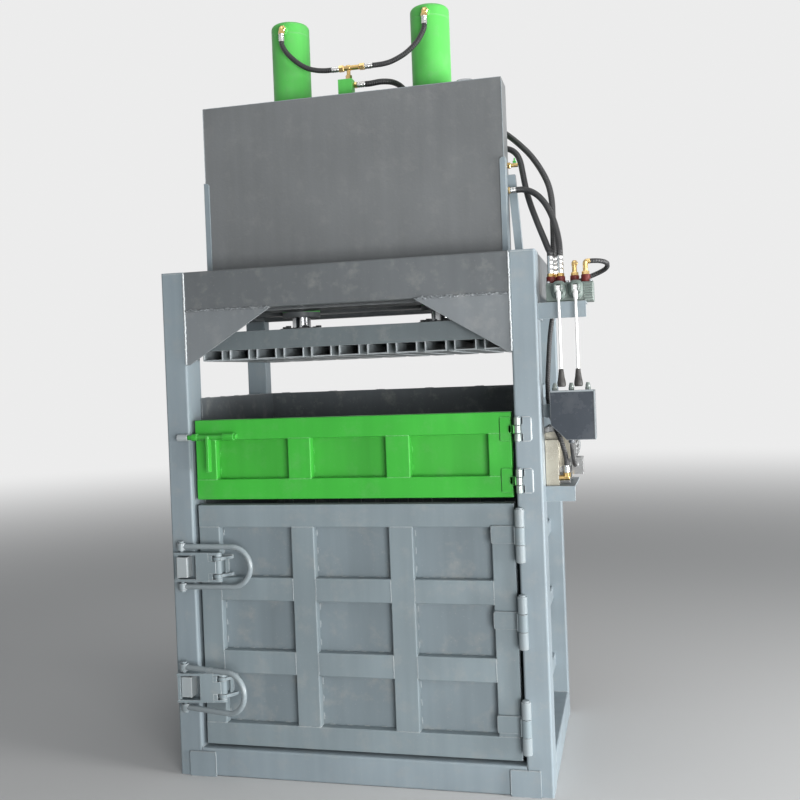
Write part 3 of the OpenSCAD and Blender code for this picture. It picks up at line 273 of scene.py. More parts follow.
rubber, t = new_material("hose_rubber")
coat = object_place(t)
scuff = noise(t, coat, 60.0, 4.0)
dust = noise(t, coat, 7.0, 3.0)
lay = node(t, "Attribute", attribute_name="lay").outputs["Fac"]
ridge = calc(t, "SINE", lay)
dark = mixed(t, mapped(t, dust, 0.35, 0.75), (0.012, 0.012, 0.013, 1), (0.034, 0.034, 0.035, 1))
# The ridge crests are mixed lighter: a painted sheen along the winding of the cover.
dark = mixed(t, calc(t, "MULTIPLY", mapped(t, ridge, 0.4, 1.0), 0.5), dark, (0.075, 0.077, 0.08, 1))
height = calc(t, "ADD", calc(t, "MULTIPLY", ridge, 0.8), calc(t, "MULTIPLY", scuff, 0.5))
bump = node(t, "Bump", {"Height": height, "Strength": 0.55, "Distance": 0.0012})
surface(t, {"Base Color": dark, "Roughness": mapped(t, scuff, 0, 1, 0.28, 0.55),
            "Normal": bump.outputs[0]})


def hose(name, route, diameter, steps=2, pitch=0.009):
    """A round tube along a smooth curve; its lay attribute winds once round for each pitch."""
    sides = 18
    path = smooth_route(route, steps)
    fine = smooth_route(route, steps * 4)
    points, faces = sweep(fine, diameter / 2, sides)
    points = np.clip(points, *np.array(cad_box))
    made = piece(name, [(points, faces)], rubber, "frame", (name,))
    run = np.concatenate([[0], np.cumsum(np.linalg.norm(np.diff(fine, axis=0), axis=1))])
    wind = (run[:, None] * 2 * np.pi / pitch
            + np.arange(sides)[None, :] * 2 * np.pi / sides).ravel()
    made.data.attributes.new("lay", "FLOAT", "POINT").data.foreach_set("value", wind)


hose("hose_top_left", [
    [-308, -150, 3005], [-308, -150, 2995], [-300, -150, 2976], [-286, -150, 2954],
    [-264, -150, 2930], [-232, -150, 2902], [-196, -150, 2880], [-158, -150, 2868],
    [-125, -150, 2863], [-105, -150, 2862], [-92, -150, 2862]], 0.021)
hose("hose_top_right", [
    [308, -150, 3005], [308, -150, 2995], [301, -150, 2976], [290, -150, 2957],
    [274, -150, 2936], [250, -150, 2914], [222, -150, 2894], [191, -150, 2879],
    [160, -150, 2868], [130, -150, 2863], [105, -150, 2862], [84, -150, 2862]], 0.021)
hose("hose_main", [
    [50, -145, 2790], [72, -145, 2790], [115, -138, 2795], [152, -108, 2798],
    [172, -60, 2797], [183, -5, 2792], [204, 48, 2782], [246, 88, 2764], [304, 106, 2738],
    [364, 104, 2708], [420, 84, 2676], [472, 52, 2646], [522, 16, 2618], [572, -22, 2584],
    [620, -54, 2544], [668, -84, 2496], [714, -110, 2442], [755, -140, 2376],
    [785, -175, 2308], [799, -210, 2240], [803, -245, 2174], [806, -275, 2116],
    [807, -298, 2060], [807, -312, 2022], [807, -312, 2005]], 0.024, steps=1)
hose("hose_return", [
    [585, -95, 2483], [606, -95, 2483], [634, -99, 2474], [658, -108, 2452],
    [673, -120, 2418], [682, -135, 2374], [691, -152, 2326], [702, -173, 2276],
    [717, -203, 2226], [735, -242, 2176], [754, -284, 2126], [773, -320, 2078],
    [789, -346, 2036], [797, -360, 2018], [797, -360, 2005]], 0.024)
hose("hose_tank", [
    [662, -200, 2292], [682, -200, 2292], [712, -205, 2284], [742, -218, 2264],
    [768, -240, 2234], [790, -267, 2196], [808, -294, 2152], [821, -320, 2106],
    [830, -344, 2060], [833, -360, 2022], [833, -360, 2005]], 0.024)
hose("hose_pump", [
    [944, -380, 1975], [956, -380, 1975], [976, -374, 1974], [994, -359, 1971],
    [1004, -337, 1966], [1004, -312, 1959], [995, -290, 1951], [977, -273, 1943],
    [952, -263, 1934], [918, -260, 1922], [878, -260, 1904], [842, -260, 1876],
    [812, -260, 1838], [792, -260, 1788], [780, -260, 1728], [773, -262, 1664],
    [768, -268, 1600], [764, -280, 1535], [764, -292, 1475], [772, -306, 1415],
    [790, -318, 1362], [810, -328, 1312], [824, -335, 1266], [829, -338, 1236],
    [829, -338, 1218]], 0.018, steps=1)
hose("motor_cable", [
    [852, -365, 1303], [852, -365, 1294], [852, -362, 1279], [853, -355, 1261],
    [855, -345, 1243], [857, -333, 1227], [859, -320, 1217], [860, -312, 1214],
    [860, -306, 1214]], 0.013, pitch=0.05)

# ---- Main frame of rectangular tube
# Two deep front posts, two rear posts and the beams between them, cut from rolled tube with
# rounded corners, welded up and sprayed grey. The header is given a darker grey as painted shade.
def new_group(name, inputs):
    """A node group that puts out Colour, Roughness and Height; inputs pairs labels with kinds."""
    g = bpy.data.node_groups.new(name, "ShaderNodeTree")
    for label, kind in inputs:
        g.interface.new_socket(label, in_out="INPUT", socket_type="NodeSocket" + kind)
    for label, kind in (("Colour", "Color"), ("Roughness", "Float"), ("Height", "Float")):
        g.interface.new_socket(label, in_out="OUTPUT", socket_type="NodeSocket" + kind)
    return g, g.nodes.new("NodeGroupInput").outputs, g.nodes.new("NodeGroupOutput").inputs


def paint_group():
    """Sprayed paint: a broad tone drift, runs, specks of dust, and edges made lighter as rubbed
    wear and painted highlight.
    """
    g, given, result = new_group("sprayed_paint", (
        ("Paint", "Color"), ("WornEdgeAndHighlight", "Color"), ("Edge", "Float"), ("Grime", "Float")))
    place = object_place(g)
    broad = noise(g, place, 1.7, 3.0)
    fine = noise(g, place, 90.0, 3.0)
    speck = node(g, "TexVoronoi", {"Vector": place, "Scale": 55.0}).outputs["Distance"]
    tall = node(g, "Mapping", {"Vector": place, "Scale": (22.0, 22.0, 1.6)}).outputs[0]
    run = noise(g, tall, 1.0, 4.0)
    scrape = noise(g, place, 11.0, 6.0, 0.7)
    tone = calc(g, "ADD", mapped(g, broad, 0.3, 0.7, 0.88, 1.10),
                mapped(g, run, 0.3, 0.7, -0.05, 0.05))
    toned = node(g, "VectorMath", {0: given["Paint"], 3: tone}, operation="SCALE").outputs[0]
    soiled = mixed(g, calc(g, "MULTIPLY", mapped(g, scrape, 0.52, 0.72, 0.0, 0.55),
                           given["Grime"]), toned, (0.33, 0.33, 0.31, 1))
    dots = calc(g, "MULTIPLY", mapped(g, speck, 0.05, 0.10, 0.5, 0.0), given["Grime"])
    soiled = mixed(g, dots, soiled, (0.45, 0.45, 0.43, 1))
    # Rims go to the worn colour: rubbed wear, and a painted highlight where edges catch the light.
    rub_and_highlight = calc(g, "MULTIPLY", given["Edge"], mapped(g, scrape, 0.35, 0.6, 0.35, 1.0), clamp=True)
    g.links.new(mixed(g, rub_and_highlight, soiled, given["WornEdgeAndHighlight"]), result["Colour"])
    g.links.new(calc(g, "ADD", mapped(g, scrape, 0.3, 0.7, 0.34, 0.52),
                     mapped(g, broad, 0.3, 0.7, -0.04, 0.06)), result["Roughness"])
    g.links.new(calc(g, "ADD", calc(g, "MULTIPLY", fine, 0.35), calc(g, "MULTIPLY", broad, 6.0)),
                result["Height"])
    return g


sprayed = paint_group()


def painted(name, colour, worn_and_highlight, grime=0.5, rim=0.0025, dents=1.0, gloss=0.0):
    """Paint over steel: rounded-edge normals, lighter rims where they turn (rubbed wear and a
    painted highlight), and a faint peel.
    """
    made, t = new_material(name)
    rounded = node(t, "Bevel", {"Radius": rim}, samples=6).outputs[0]
    plain = node(t, "NewGeometry").outputs["Normal"]
    turn = node(t, "VectorMath", {0: rounded, 1: plain}, operation="DOT_PRODUCT").outputs["Value"]
    edge = mapped(t, turn, 0.995, 0.90)
    g = node(t, "Group", {"Paint": (*colour, 1), "WornEdgeAndHighlight": (*worn_and_highlight, 1), "Edge": edge,
                          "Grime": grime}, node_tree=sprayed).outputs
    bump = node(t, "Bump", {"Height": g["Height"], "Strength": 0.35, "Distance": 0.0009 * dents,
                            "Normal": rounded})
    surface(t, {"Base Color": g["Colour"],
                "Roughness": calc(t, "SUBTRACT", g["Roughness"], gloss, clamp=True),
                "Specular IOR Level": 0.28 + gloss, "Normal": bump.outputs[0]})
    return made


def dress(mat, *names):
    """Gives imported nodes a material."""
    for name in names:
        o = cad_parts[name]
        if not o.material_slots:
            o.data.materials.append(mat)
        for s in o.material_slots:
            s.material = mat


def beam(low, high, axis, corner, wall=0.0, cut=1.5):
    """A bar along one axis, in mm: a rectangle with rounded corners, hollow if it has a wall."""
    low, high = np.array(low, float), np.array(high, float)
    a, b = [i for i in range(3) if i != axis]
    steps = 6
    turn = (np.arange(4)[:, None] * 90 + np.linspace(0, 90, steps)[None, :]).ravel()
    turn = np.radians(turn)
    sign = np.array([[1, 1], [-1, 1], [-1, -1], [1, -1]]).repeat(steps, axis=0)

    def outline(inset, at):
        """The rounded rectangle, drawn in by inset, at one place along the bar."""
        half = (high - low)[[a, b]] / 2 - inset
        r = max(corner - inset, 0.5)
        flat = (high + low)[[a, b]] / 2 + sign * (half - r) \
            + r * np.stack([np.cos(turn), np.sin(turn)], axis=1)
        ring = np.empty((4 * steps, 3))
        ring[:, a], ring[:, b], ring[:, axis] = flat[:, 0], flat[:, 1], at
        return ring

    z0, z1 = low[axis], high[axis]
    if wall:
        rings = [outline(wall, z0), outline(0, z0), outline(0, z1), outline(wall, z1)]
    else:
        rings = [outline(cut, z0), outline(0, z0 + cut), outline(0, z1 - cut), outline(cut, z1)]
    return ring_stack(np.array(rings) * MM, closed=bool(wall))


half_w, post_w, tube = 750, 98, 6
inner = half_w - post_w
post_xs = (-half_w, inner)
front, front_back, rear_front, rear = -460, -330, 398, 460
base_top, header_low, top = 112, 1867, 2025
frame_paint = (0.232, 0.280, 0.308)


def post(x0, y0, y1, corner):
    """An upright tube and the plate that caps it."""
    return [beam((x0, y0, 0), (x0 + post_w, y1, top - tube), 2, corner, wall=tube),
            beam((x0, y0, top - tube), (x0 + post_w, y1, top), 2, corner, cut=1)]


def ring_beams(z0, z1):
    """The beam between the rear posts and the two side beams, from z0 to z1."""
    return [beam((-inner, rear_front, z0), (inner, rear, z1), 0, 7, wall=tube)] + [
        beam((x0, front_back, z0), (x0 + post_w, rear_front, z1), 1, 8, wall=tube)
        for x0 in post_xs]


frame_grey = painted("frame_grey", frame_paint, (0.50, 0.54, 0.56))
for name, x0 in zip(("post_front_left", "post_front_right"), post_xs):
    piece(name + "_tube", post(x0, front, front_back, 9), frame_grey, replaces=(name,))
piece("rear_post_tubes", [part for x0 in post_xs for part in post(x0, rear_front, rear, 7)],
      frame_grey, replaces=("posts_rear",))
# The header's grey is darker than the frame's: painted shade, high on the machine where the light
# is dimmer.
header_shaded_grey = painted("header_shaded_grey", (0.116, 0.126, 0.132), (0.44, 0.46, 0.47))
piece("front_header_tube", [
    beam((-inner, front, header_low), (inner, front + 100, top), 0, 8, wall=tube)],
    header_shaded_grey, replaces=("header_front",))
piece("rear_header_tubes", ring_beams(header_low, top), header_shaded_grey, replaces=("header_beams",))
piece("base_tubes", [
    beam((-inner, y0, 0), (inner, y1, base_top), 0, 8, wall=tube)
    for y0, y1 in ((front, front + 70), (-50, 50))] + ring_beams(0, base_top),
    frame_grey, replaces=("base_beams",))

# The splice plates at the feet are in the gussets' node, and take the frame's tone.
# The gussets turn darker with height: painted shade, matching the header's darker grey.
gusset_shade_paint = (0.170, 0.186, 0.196)
gusset_grey = painted("gusset_grey", gusset_shade_paint, (0.44, 0.46, 0.47))
t = gusset_grey.node_tree
tall = node(t, "SeparateXYZ", {0: object_place(t)}).outputs[2]
t.links.new(mixed(t, mapped(t, tall, 0.4, 1.0), (*frame_paint, 1), (*gusset_shade_paint, 1)),
            next(n for n in t.nodes if n.type == "GROUP").inputs["Paint"])
dress(gusset_grey, "frame_gussets")
# The cylinder beams take the same darker grey, painted shade under the top of the frame.
dress(header_shaded_grey, "cylinder_beams")

# ---- Weld beads on the frame
# Hand-laid fillet welds along the gussets, the splice plates and the beam ends, painted over
# with the rest. Each bead ripples where the rod paused.
dice = np.random.default_rng(11)


def bead(start, end, r=3.2, rough=0.16, pitch=2.4):
    """A weld run between two points, in mm: one ring each pitch, strayed by rough times r.

    Its radius is r times a sine of the ring's number, with a little chance, and tapers at the ends.
    """
    start, end = np.array(start, float), np.array(end, float)
    count = max(int(np.linalg.norm(end - start) / pitch), 4)
    s = np.linspace(0, 1, count)
    path = start + (end - start) * s[:, None] + dice.normal(0, rough * r, (count, 3))
    swell = r * (1 + 0.2 * np.sin(np.arange(count) * 2.1) + dice.normal(0, 0.07, count))
    swell *= np.clip(np.minimum(s, 1 - s) * count / 2 + 0.35, 0.35, 1)
    return sweep(path * MM, swell * MM, 6)


bead_grey = painted("bead_grey", (0.27, 0.305, 0.322), (0.58, 0.61, 0.62), rim=0.0008)
# A pale grey for beads that catch the light: a painted highlight.
pale_bead_highlight = painted("pale_bead_highlight", (0.52, 0.55, 0.56), (0.8, 0.82, 0.82), rim=0.0008)


def welds(name, runs, mat=bead_grey, body="frame"):
    """One piece of weld runs, shaded smooth all round."""
    piece(name, runs, mat, body, angle=80)


splice_in, splice_out, splice_y, splice_top = 592, 704, front - 6, 98.5
runs, gusset_runs, post_runs = [], [], []
for s in (-1, 1):
    gusset_runs += [bead((s * 650, front - 0.5, header_low), (s * 290, front - 0.5, header_low),
                         3.4, 0.5, 4.5),
                    bead((s * 648, front, header_low + 3), (s * 300, front, header_low + 3),
                         2.6, 0.9, 7.0)]
    post_runs += [bead((s * inner, front - 1.5, 1655), (s * inner, front - 1.5, top - 3), 3.6, 0.2)]
    runs += [bead((s * splice_in, splice_y, 2), (s * splice_in, splice_y, 98), 2.6),
             bead((s * splice_in, splice_y, splice_top), (s * splice_out, splice_y, splice_top),
                  2.6)]
    runs += [bead((s * (inner + 2), y, z), (s * (half_w - 4), y, z), 3)
             for z in (base_top, header_low) for y in (front_back, rear_front)]
    runs += [bead((s * inner, y, base_top), (s * inner, y + 60, base_top), 3)
             for y in (front + 2, rear_front + 1)]
welds("frame_beads", runs)
welds("gusset_beads", gusset_runs, gusset_grey)
# The upright beads where the posts meet the header are pale, a painted highlight on paint that
# matches the frame.
welds("post_beads", post_runs, pale_bead_highlight)

# ---- Bale chamber
# Sheet walls on the inner faces of the posts and a back wall with upright flats, stiffened by
# tube ribs outside, over a floor of channels that leave slots for the straps. Worn and dusty.
rib_zs = [230 + i * 306.75 for i in range(5)]
rib_h, rib_d = 60, 45
piece("chamber_ribs", [part for z in rib_zs for part in (
    beam((-inner - rib_d, front_back, z), (-inner, rear_front, z + rib_h), 1, 6, wall=4),
    beam((inner, front_back, z), (inner + rib_d, rear_front, z + rib_h), 1, 6, wall=4),
    beam((-720, rear, z), (720, rear + rib_d, z + rib_h), 0, 6, wall=4))],
    frame_grey, replaces=("wall_ribs",))
wall_grey = painted("wall_grey", (0.110, 0.125, 0.134), (0.45, 0.48, 0.49), grime=0.9)
dress(wall_grey, "chamber_wall_left", "chamber_wall_right", "chamber_wall_back", "chamber_floor")
rib_runs = []
for z in rib_zs:
    for x in (-inner - 0.5, inner + 0.5):
        rib_runs += [bead((x, y, edge), (x, y + 45, edge), 2.4)
                     for y in range(-300, 380, 150) for edge in (z + rib_h, z)]
    rib_runs += [bead((x, rear + 0.5, z + rib_h), (x + 45, rear + 0.5, z + rib_h), 2.4)
                 for x in range(-600, 601, 240)]
welds("rib_beads", rib_runs)

# ---- Door hinges
# Turned sleeves on headed pins. The bale door's are heavy painted ones welded to the post, the
# feed door's are small plated ones whose strips are welded flat on the post.
def metal_group():
    """Bare plated steel: cloudy tone, fine scratches and dull patches."""
    g, given, result = new_group("plated_metal", (
        ("Metal", "Color"), ("Dull", "Color"), ("Polish", "Float")))
    place = object_place(g)
    cloud = noise(g, place, 24.0, 5.0)
    drawn = node(g, "Mapping", {"Vector": place, "Scale": (400.0, 60.0, 400.0)}).outputs[0]
    scratch = noise(g, drawn, 1.0)
    g.links.new(mixed(g, mapped(g, cloud, 0.4, 0.7), given["Metal"], given["Dull"]),
                result["Colour"])
    rough = calc(g, "ADD", mapped(g, cloud, 0.3, 0.7, 0.10, 0.30),
                 mapped(g, scratch, 0.3, 0.7, 0.0, 0.10))
    g.links.new(calc(g, "SUBTRACT", rough, calc(g, "MULTIPLY", given["Polish"], 0.12), clamp=True),
                result["Roughness"])
    g.links.new(calc(g, "ADD", scratch, cloud), result["Height"])
    return g


plated = metal_group()


def bare(name, colour, dull, polish=0.0, metallic=1.0):
    """Unpainted metal with softened edges, in a colour that drifts to a dull one."""
    made, t = new_material(name)
    g = node(t, "Group", {"Metal": (*colour, 1), "Dull": (*dull, 1), "Polish": polish},
             node_tree=plated).outputs
    rounded = node(t, "Bevel", {"Radius": 0.0012}, samples=4).outputs[0]
    bump = node(t, "Bump", {"Height": g["Height"], "Strength": 0.2, "Distance": 0.0003,
                            "Normal": rounded})
    surface(t, {"Base Color": g["Colour"], "Roughness": g["Roughness"], "Metallic": metallic,
                "Normal": bump.outputs[0]})
    return made


def knuckle(place, z0, z1, r, bore, cut=1.5, sides=40):
    """A turned sleeve: a bored ring about Z whose outer corners are cut."""
    profile = np.array([(bore, z0), (r - cut, z0), (r, z0 + cut), (r, z1 - cut), (r - cut, z1),
                        (bore, z1)])
    a = np.arange(sides) * 2 * np.pi / sides
    rings = np.stack([profile[:, :1] * np.cos(a) + place[0], profile[:, :1] * np.sin(a) + place[1],
                      profile[:, 1:] + 0 * a], axis=-1)
    return ring_stack(rings * MM, closed=True)


zinc = bare("zinc_plate", (0.62, 0.64, 0.66), (0.40, 0.42, 0.44))
hinge_grey = painted("hinge_grey", (0.242, 0.282, 0.300), (0.52, 0.56, 0.57), rim=0.002)
plated_white = bare("hinge_plate", (0.25, 0.285, 0.265), (0.19, 0.23, 0.21), metallic=0.3)
dress(hinge_grey, "hinge_pins")
bale_hinges, bale_pin, bale_ends = (262, 652, 973), (660, -478), (-66, 66)
feed_hinges, feed_pin, feed_ends = (1174, 1365), (664, -472), (-30, 30)
sleeves = [knuckle(bale_pin, z + end - 32, z + end + 32, 18, 9.1)
           for z in bale_hinges for end in bale_ends]
sleeves += [beam((653, -469, z + end - 31.5), (674, front, z + end + 31.5), 2, 2)
            for z in bale_hinges for end in bale_ends]
piece("bale_post_sleeves", sleeves, hinge_grey, "frame", ("post_hinge_leaves",))
feed_sleeve = (12, 6.1)
feed_half, strip_half = 14.5, 44.5
piece("feed_post_sleeves", [
    knuckle(feed_pin, z + end - feed_half, z + end + feed_half, *feed_sleeve)
    for z in feed_hinges for end in feed_ends],
    plated_white, "frame", ("post_hinge_leaves",))
strips, edges = [], []
for z in feed_hinges:
    strips += [beam((677, -465, z - strip_half), (712, front, z + strip_half), 2, 1)]
    strips += [beam((664, -465, z + end - feed_half), (684, front, z + end + feed_half), 2, 1)
               for end in feed_ends]
    edges += [bead((713, front - 2, z - 42), (713, front - 2, z + 42), 3.0)]
    edges += [bead((682, front - 1.5, z + side), (709, front - 1.5, z + side), 1.6)
              for side in (45, -45)]
piece("feed_post_strips", strips, frame_grey, replaces=("post_hinge_leaves",))
# The strips' edge beads are pale: partly the whitish look of bare weld, partly a painted highlight
# on their lit edges.
welds("feed_strip_beads", edges, pale_bead_highlight)

# ---- Latch and bolt keepers on the left post
# Hooked flame-cut plates for the two latch links and a short tube for the bolt, welded to the
# post's face.
keeper_grey = painted("keeper_grey", (0.36, 0.40, 0.415), (0.62, 0.65, 0.66), rim=0.004)
dress(keeper_grey, "post_keepers")
upper_z, lower_z = 848, 370
latch_zs = (upper_z, lower_z)
welds("keeper_beads", [bead((x, front - 0.5, z - 38), (x, front - 0.5, z + 38), 2.6)
                       for x in (-687.5, -664.5) for z in latch_zs])

# ---- Bale door
# A grid of folded channels welded over one thick skin, so each window is a shallow pocket.
# Short welds hold the skin in the pockets, and long ones join the bars.
door_front, skin_front = -440, -400.2
door_grey = painted("door_grey", (0.206, 0.251, 0.271), (0.52, 0.56, 0.57))


def door_bars(z0, height, rows, rail, mid):
    """Top and bottom bars the door's full width, uprights between them, then short cross bars.

    Uprights and cross bars reach 3 mm into their neighbours, each a little further back.
    """
    cols, half, stile, bar, reach = 3, 637.0, 88.0, 95.0, 3
    win_w = (2 * half - 2 * stile - (cols - 1) * bar) / cols
    win_h = (height - 2 * rail - (rows - 1) * mid) / rows
    xs = [(-half, -half + stile)] + [(-half + stile + i * win_w + (i - 1) * bar,
                                      -half + stile + i * (win_w + bar)) for i in range(1, cols)]
    xs += [(half - stile, half)]
    zs = [(z0, z0 + rail)] + [(z0 + rail + j * win_h + (j - 1) * mid,
                               z0 + rail + j * (win_h + mid)) for j in range(1, rows)]
    zs += [(z0 + height - rail, z0 + height)]
    bars = [beam((-half, door_front, a), (half, skin_front, b), 0, 4.5) for a, b in (zs[0], zs[-1])]
    bars += [beam((a, door_front + 0.2, zs[0][1] - reach), (b, skin_front, zs[-1][0] + reach),
                  2, 4.5) for a, b in xs]
    bars += [beam((xs[i][1] - reach, door_front + 0.5, a), (xs[i + 1][0] + reach, skin_front, b),
                  0, 4.5) for a, b in zs[1:-1] for i in range(cols)]
    return bars, xs, zs


bars, xs, zs = door_bars(122, 966, rows=3, rail=90, mid=93)
piece("bale_door_bars", bars, door_grey, "bale_door", ("bale_door_grid",))
skin_grey = painted("skin_grey", (0.198, 0.240, 0.262), (0.44, 0.48, 0.49), grime=0.8)
dress(skin_grey, "bale_door_skin")
dress(door_grey, "bale_door_leaves")


def door_beads(xs, zs, every=70):
    """Short welds at the feet of the pockets, and full welds where one bar butts on another."""
    foot_y, cross_y, stile_y = skin_front - 1.3, -439.3, -439.6
    made = []
    for i in range(len(xs) - 1):
        x0, x1 = xs[i][1], xs[i + 1][0]
        for j in range(len(zs) - 1):
            a, b = zs[j][1], zs[j + 1][0]
            made += [bead((x, foot_y, z), (x + 22, foot_y, z), 2.6)
                     for z in (a + 1, b - 1) for x in np.arange(x0 + 25, x1 - 30, every)]
            made += [bead((x, foot_y, z), (x, foot_y, z + 26), 3.2, 0.3)
                     for x in (x0 + 1, x1 - 1) for z in np.arange(a + 20, b - 25, every)]
        for a, b in zs[1:-1]:
            made += [bead((x, cross_y, a + 4), (x, cross_y, b - 4), 1.7, 0.3) for x in (x0, x1)]
    for x0, x1 in xs:
        made += [bead((x0 + 4, stile_y, z), (x1 - 4, stile_y, z), 1.7, 0.4)
                 for z in (zs[0][1], zs[-1][0])]
    return made


welds("bale_door_beads", door_beads(xs, zs), body="bale_door")
leaf_y = door_front - 10
leaf_runs = []
for z in bale_hinges:
    leaf_runs += [bead((549, leaf_y, z - 31), (549, leaf_y, z + 31), 2.4)]
    leaf_runs += [bead((552, leaf_y - 1, z + side), (634, leaf_y - 1, z + side), 1.8)
                  for side in (32, -32)]
welds("leaf_beads", leaf_runs, body="bale_door")

# ---- Door latches
# Welded links that hook over the keepers, each pulled tight by a lever of round bar bent to
# a long U, on pins between two lugs and their webs. Sprayed with the door; the levers shine.
lever_steel = painted("lever_steel", (0.235, 0.275, 0.292), (0.60, 0.62, 0.64), grime=0.3,
                      gloss=0.2)
dress(door_grey, "latch_lugs", "latch_link_upper", "latch_link_lower")
dress(lever_steel, "latch_lever_upper", "latch_lever_lower")
pin = np.array([-540.0, -482.0])


def plates(outline, z, low, high):
    """Two flat plates of one outline (x, y) in mm, from low to high below z and above it."""
    return [ring_stack(np.array([np.column_stack([outline, np.full(len(outline), z + s * edge)])
                                 for edge in (low, high)]) * MM) for s in (-1, 1)]


def cheeks(z, turn):
    """Side plates with round ends about the pin, face plates and sleeves, turned with the link."""
    end, face, r = -34.8, -17.8, 16
    a = np.radians(np.linspace(-90, 90, 13))
    side = np.concatenate([[(end, 15.8), (end, face)], r * np.column_stack([np.cos(a), np.sin(a)])])
    turn = np.radians(turn)
    spin = np.array([[np.cos(turn), np.sin(turn)], [-np.sin(turn), np.cos(turn)]])
    flat = np.array([(end, face), (-19.5, face), (-19.5, -8), (end, -8)])
    return plates(side @ spin + pin, z, 48.2, 57.8) + plates(flat @ spin + pin, z, 24.3, 47) + [
        knuckle(pin, z + low, z + low + 7.5, r, 12.6) for low in (-48, 40.5)]


piece("link_cheeks_upper", cheeks(upper_z, 0), door_grey, "latch_link_upper")
piece("link_cheeks_lower", cheeks(lower_z, 7), door_grey, "latch_link_lower")

foot = np.array([(-522, -494), (-492, -452), (-492, door_front), (-522, door_front)])
feet = [part for z in latch_zs for part in plates(foot, z, 28.3, 39.7)]
feet += [beam((-521, -464, z - 29), (-514, door_front, z + 29), 2, 2) for z in latch_zs]
piece("lug_webs", feet, door_grey, "bale_door")
lug_y = door_front - 0.5
welds("lug_beads", [bead((-558, lug_y, z + side), (-493, lug_y, z + side), 2.2)
                    for z in latch_zs for side in (-41, 41)]
      + [bead((-513, lug_y, z - 26), (-513, lug_y, z + 26), 2.4) for z in latch_zs],
      body="bale_door")

# ---- Feed door
# The same grid one row high, sprayed bright green, with a sliding bolt in two short guide
# tubes on its left and plated sleeves on folded strips on its right.
green = painted("door_green", (0.045, 0.385, 0.041), (0.26, 0.66, 0.26), grime=0.15)
green_skin = painted("skin_green", (0.050, 0.372, 0.043), (0.2, 0.55, 0.2), grime=0.15)
feed_bars, fx, fz = door_bars(1110, 319, rows=1, rail=81, mid=0)
piece("feed_door_bars", feed_bars, green, "feed_door", ("feed_door_grid",))
welds("feed_door_beads", door_beads(fx, fz), green, "feed_door")
dress(green_skin, "feed_door_skin")
dress(green, "bolt_guides", "feed_bolt")
leaf_front = door_front - 6
leaves = []
for z in feed_hinges:
    leaves += [beam((596, leaf_front, z - strip_half), (636, door_front, z + strip_half), 2, 1)]
    leaves += [beam((x0, y0, z - feed_half), (x1, y1, z + feed_half), 2, 1) for x0, y0, x1, y1 in (
        (627, leaf_front, 650, door_front), (643, -478, 650, door_front), (643, -478, 654, -466))]
piece("feed_door_strips", leaves, green, "feed_door", ("feed_door_leaves",))
piece("feed_door_sleeves", [knuckle(feed_pin, z - feed_half, z + feed_half, *feed_sleeve)
                            for z in feed_hinges],
      plated_white, "feed_door", ("feed_door_leaves",))
# A dark green bead down the left edge of each leaf: a painted shadow line where the leaf stands off
# the door.
leaf_shade = painted("leaf_shadow_green", (0.012, 0.14, 0.012), (0.03, 0.25, 0.03), rim=0.0008)
welds("feed_leaf_shadow_beads", [bead((595, door_front - 1, z - 43), (595, door_front - 1, z + 43), 2.6)
                          for z in feed_hinges], leaf_shade, "feed_door")
strip_y = door_front - 2
welds("feed_strip_runs", [bead((598, strip_y, z + side), (632, strip_y, z + side), 1.8)
                          for z in feed_hinges for side in (-45.5, 45.5)],
      green, "feed_door")

# ---- Press platen
# A row of folded channels under a welded tray of plates, pushed by two chromed piston rods
# through bolted flanges.
# The platen's grey is darkened as painted shade: it sits in the header's shadow.
platen_shaded_grey = painted("platen_shaded_grey", (0.132, 0.157, 0.166), (0.42, 0.45, 0.46))
dress(platen_shaded_grey, "platen_box")
channel_grey = painted("channel_grey", (0.27, 0.305, 0.32), (0.70, 0.73, 0.74), rim=0.004)
dress(channel_grey, "platen_channels")
# Flanges, their bolts and the cylinder glands get a near-black grey: painted shade, as they sit in
# the deep shadow under the header.
flange_shaded_grey = painted("flange_shaded_grey", (0.11, 0.12, 0.126), (0.30, 0.32, 0.33), rim=0.002)
dress(flange_shaded_grey, "rod_flanges", "flange_bolts")


def revolve(profile, place, axis=2, sides=64):
    """A profile of (radius, distance) pairs in mm turned about an axis through place."""
    profile = np.asarray(profile, float)
    a = np.arange(sides) * 2 * np.pi / sides
    rings = np.empty((len(profile), sides, 3))
    u, v = [i for i in range(3) if i != axis]
    rings[..., u] = profile[:, :1] * np.cos(a) + place[u]
    rings[..., v] = profile[:, :1] * np.sin(a) + place[v]
    rings[..., axis] = profile[:, 1:] + place[axis]
    return ring_stack(rings * MM)


# The rods' chrome is darkened: a painted shade and dull reflection, as they sit in shadow under the
# header.
shaded_chrome = bare("rod_chrome", (0.42, 0.43, 0.44), (0.30, 0.31, 0.32), polish=0.6)
cyl_xs, cyl_y = (-308, 308), -35
rod = [(36, 1719), (40, 1723), (40, 3000), (65, 3000.5), (69.9, 3005), (69.9, 3018), (67, 3019),
       (67, 3026), (69.9, 3027), (69.9, 3040), (65, 3045)]
piece("chromed_rods", [revolve(rod, (x, cyl_y, 0)) for x in cyl_xs], shaded_chrome, "platen",
      ("piston_rods",))

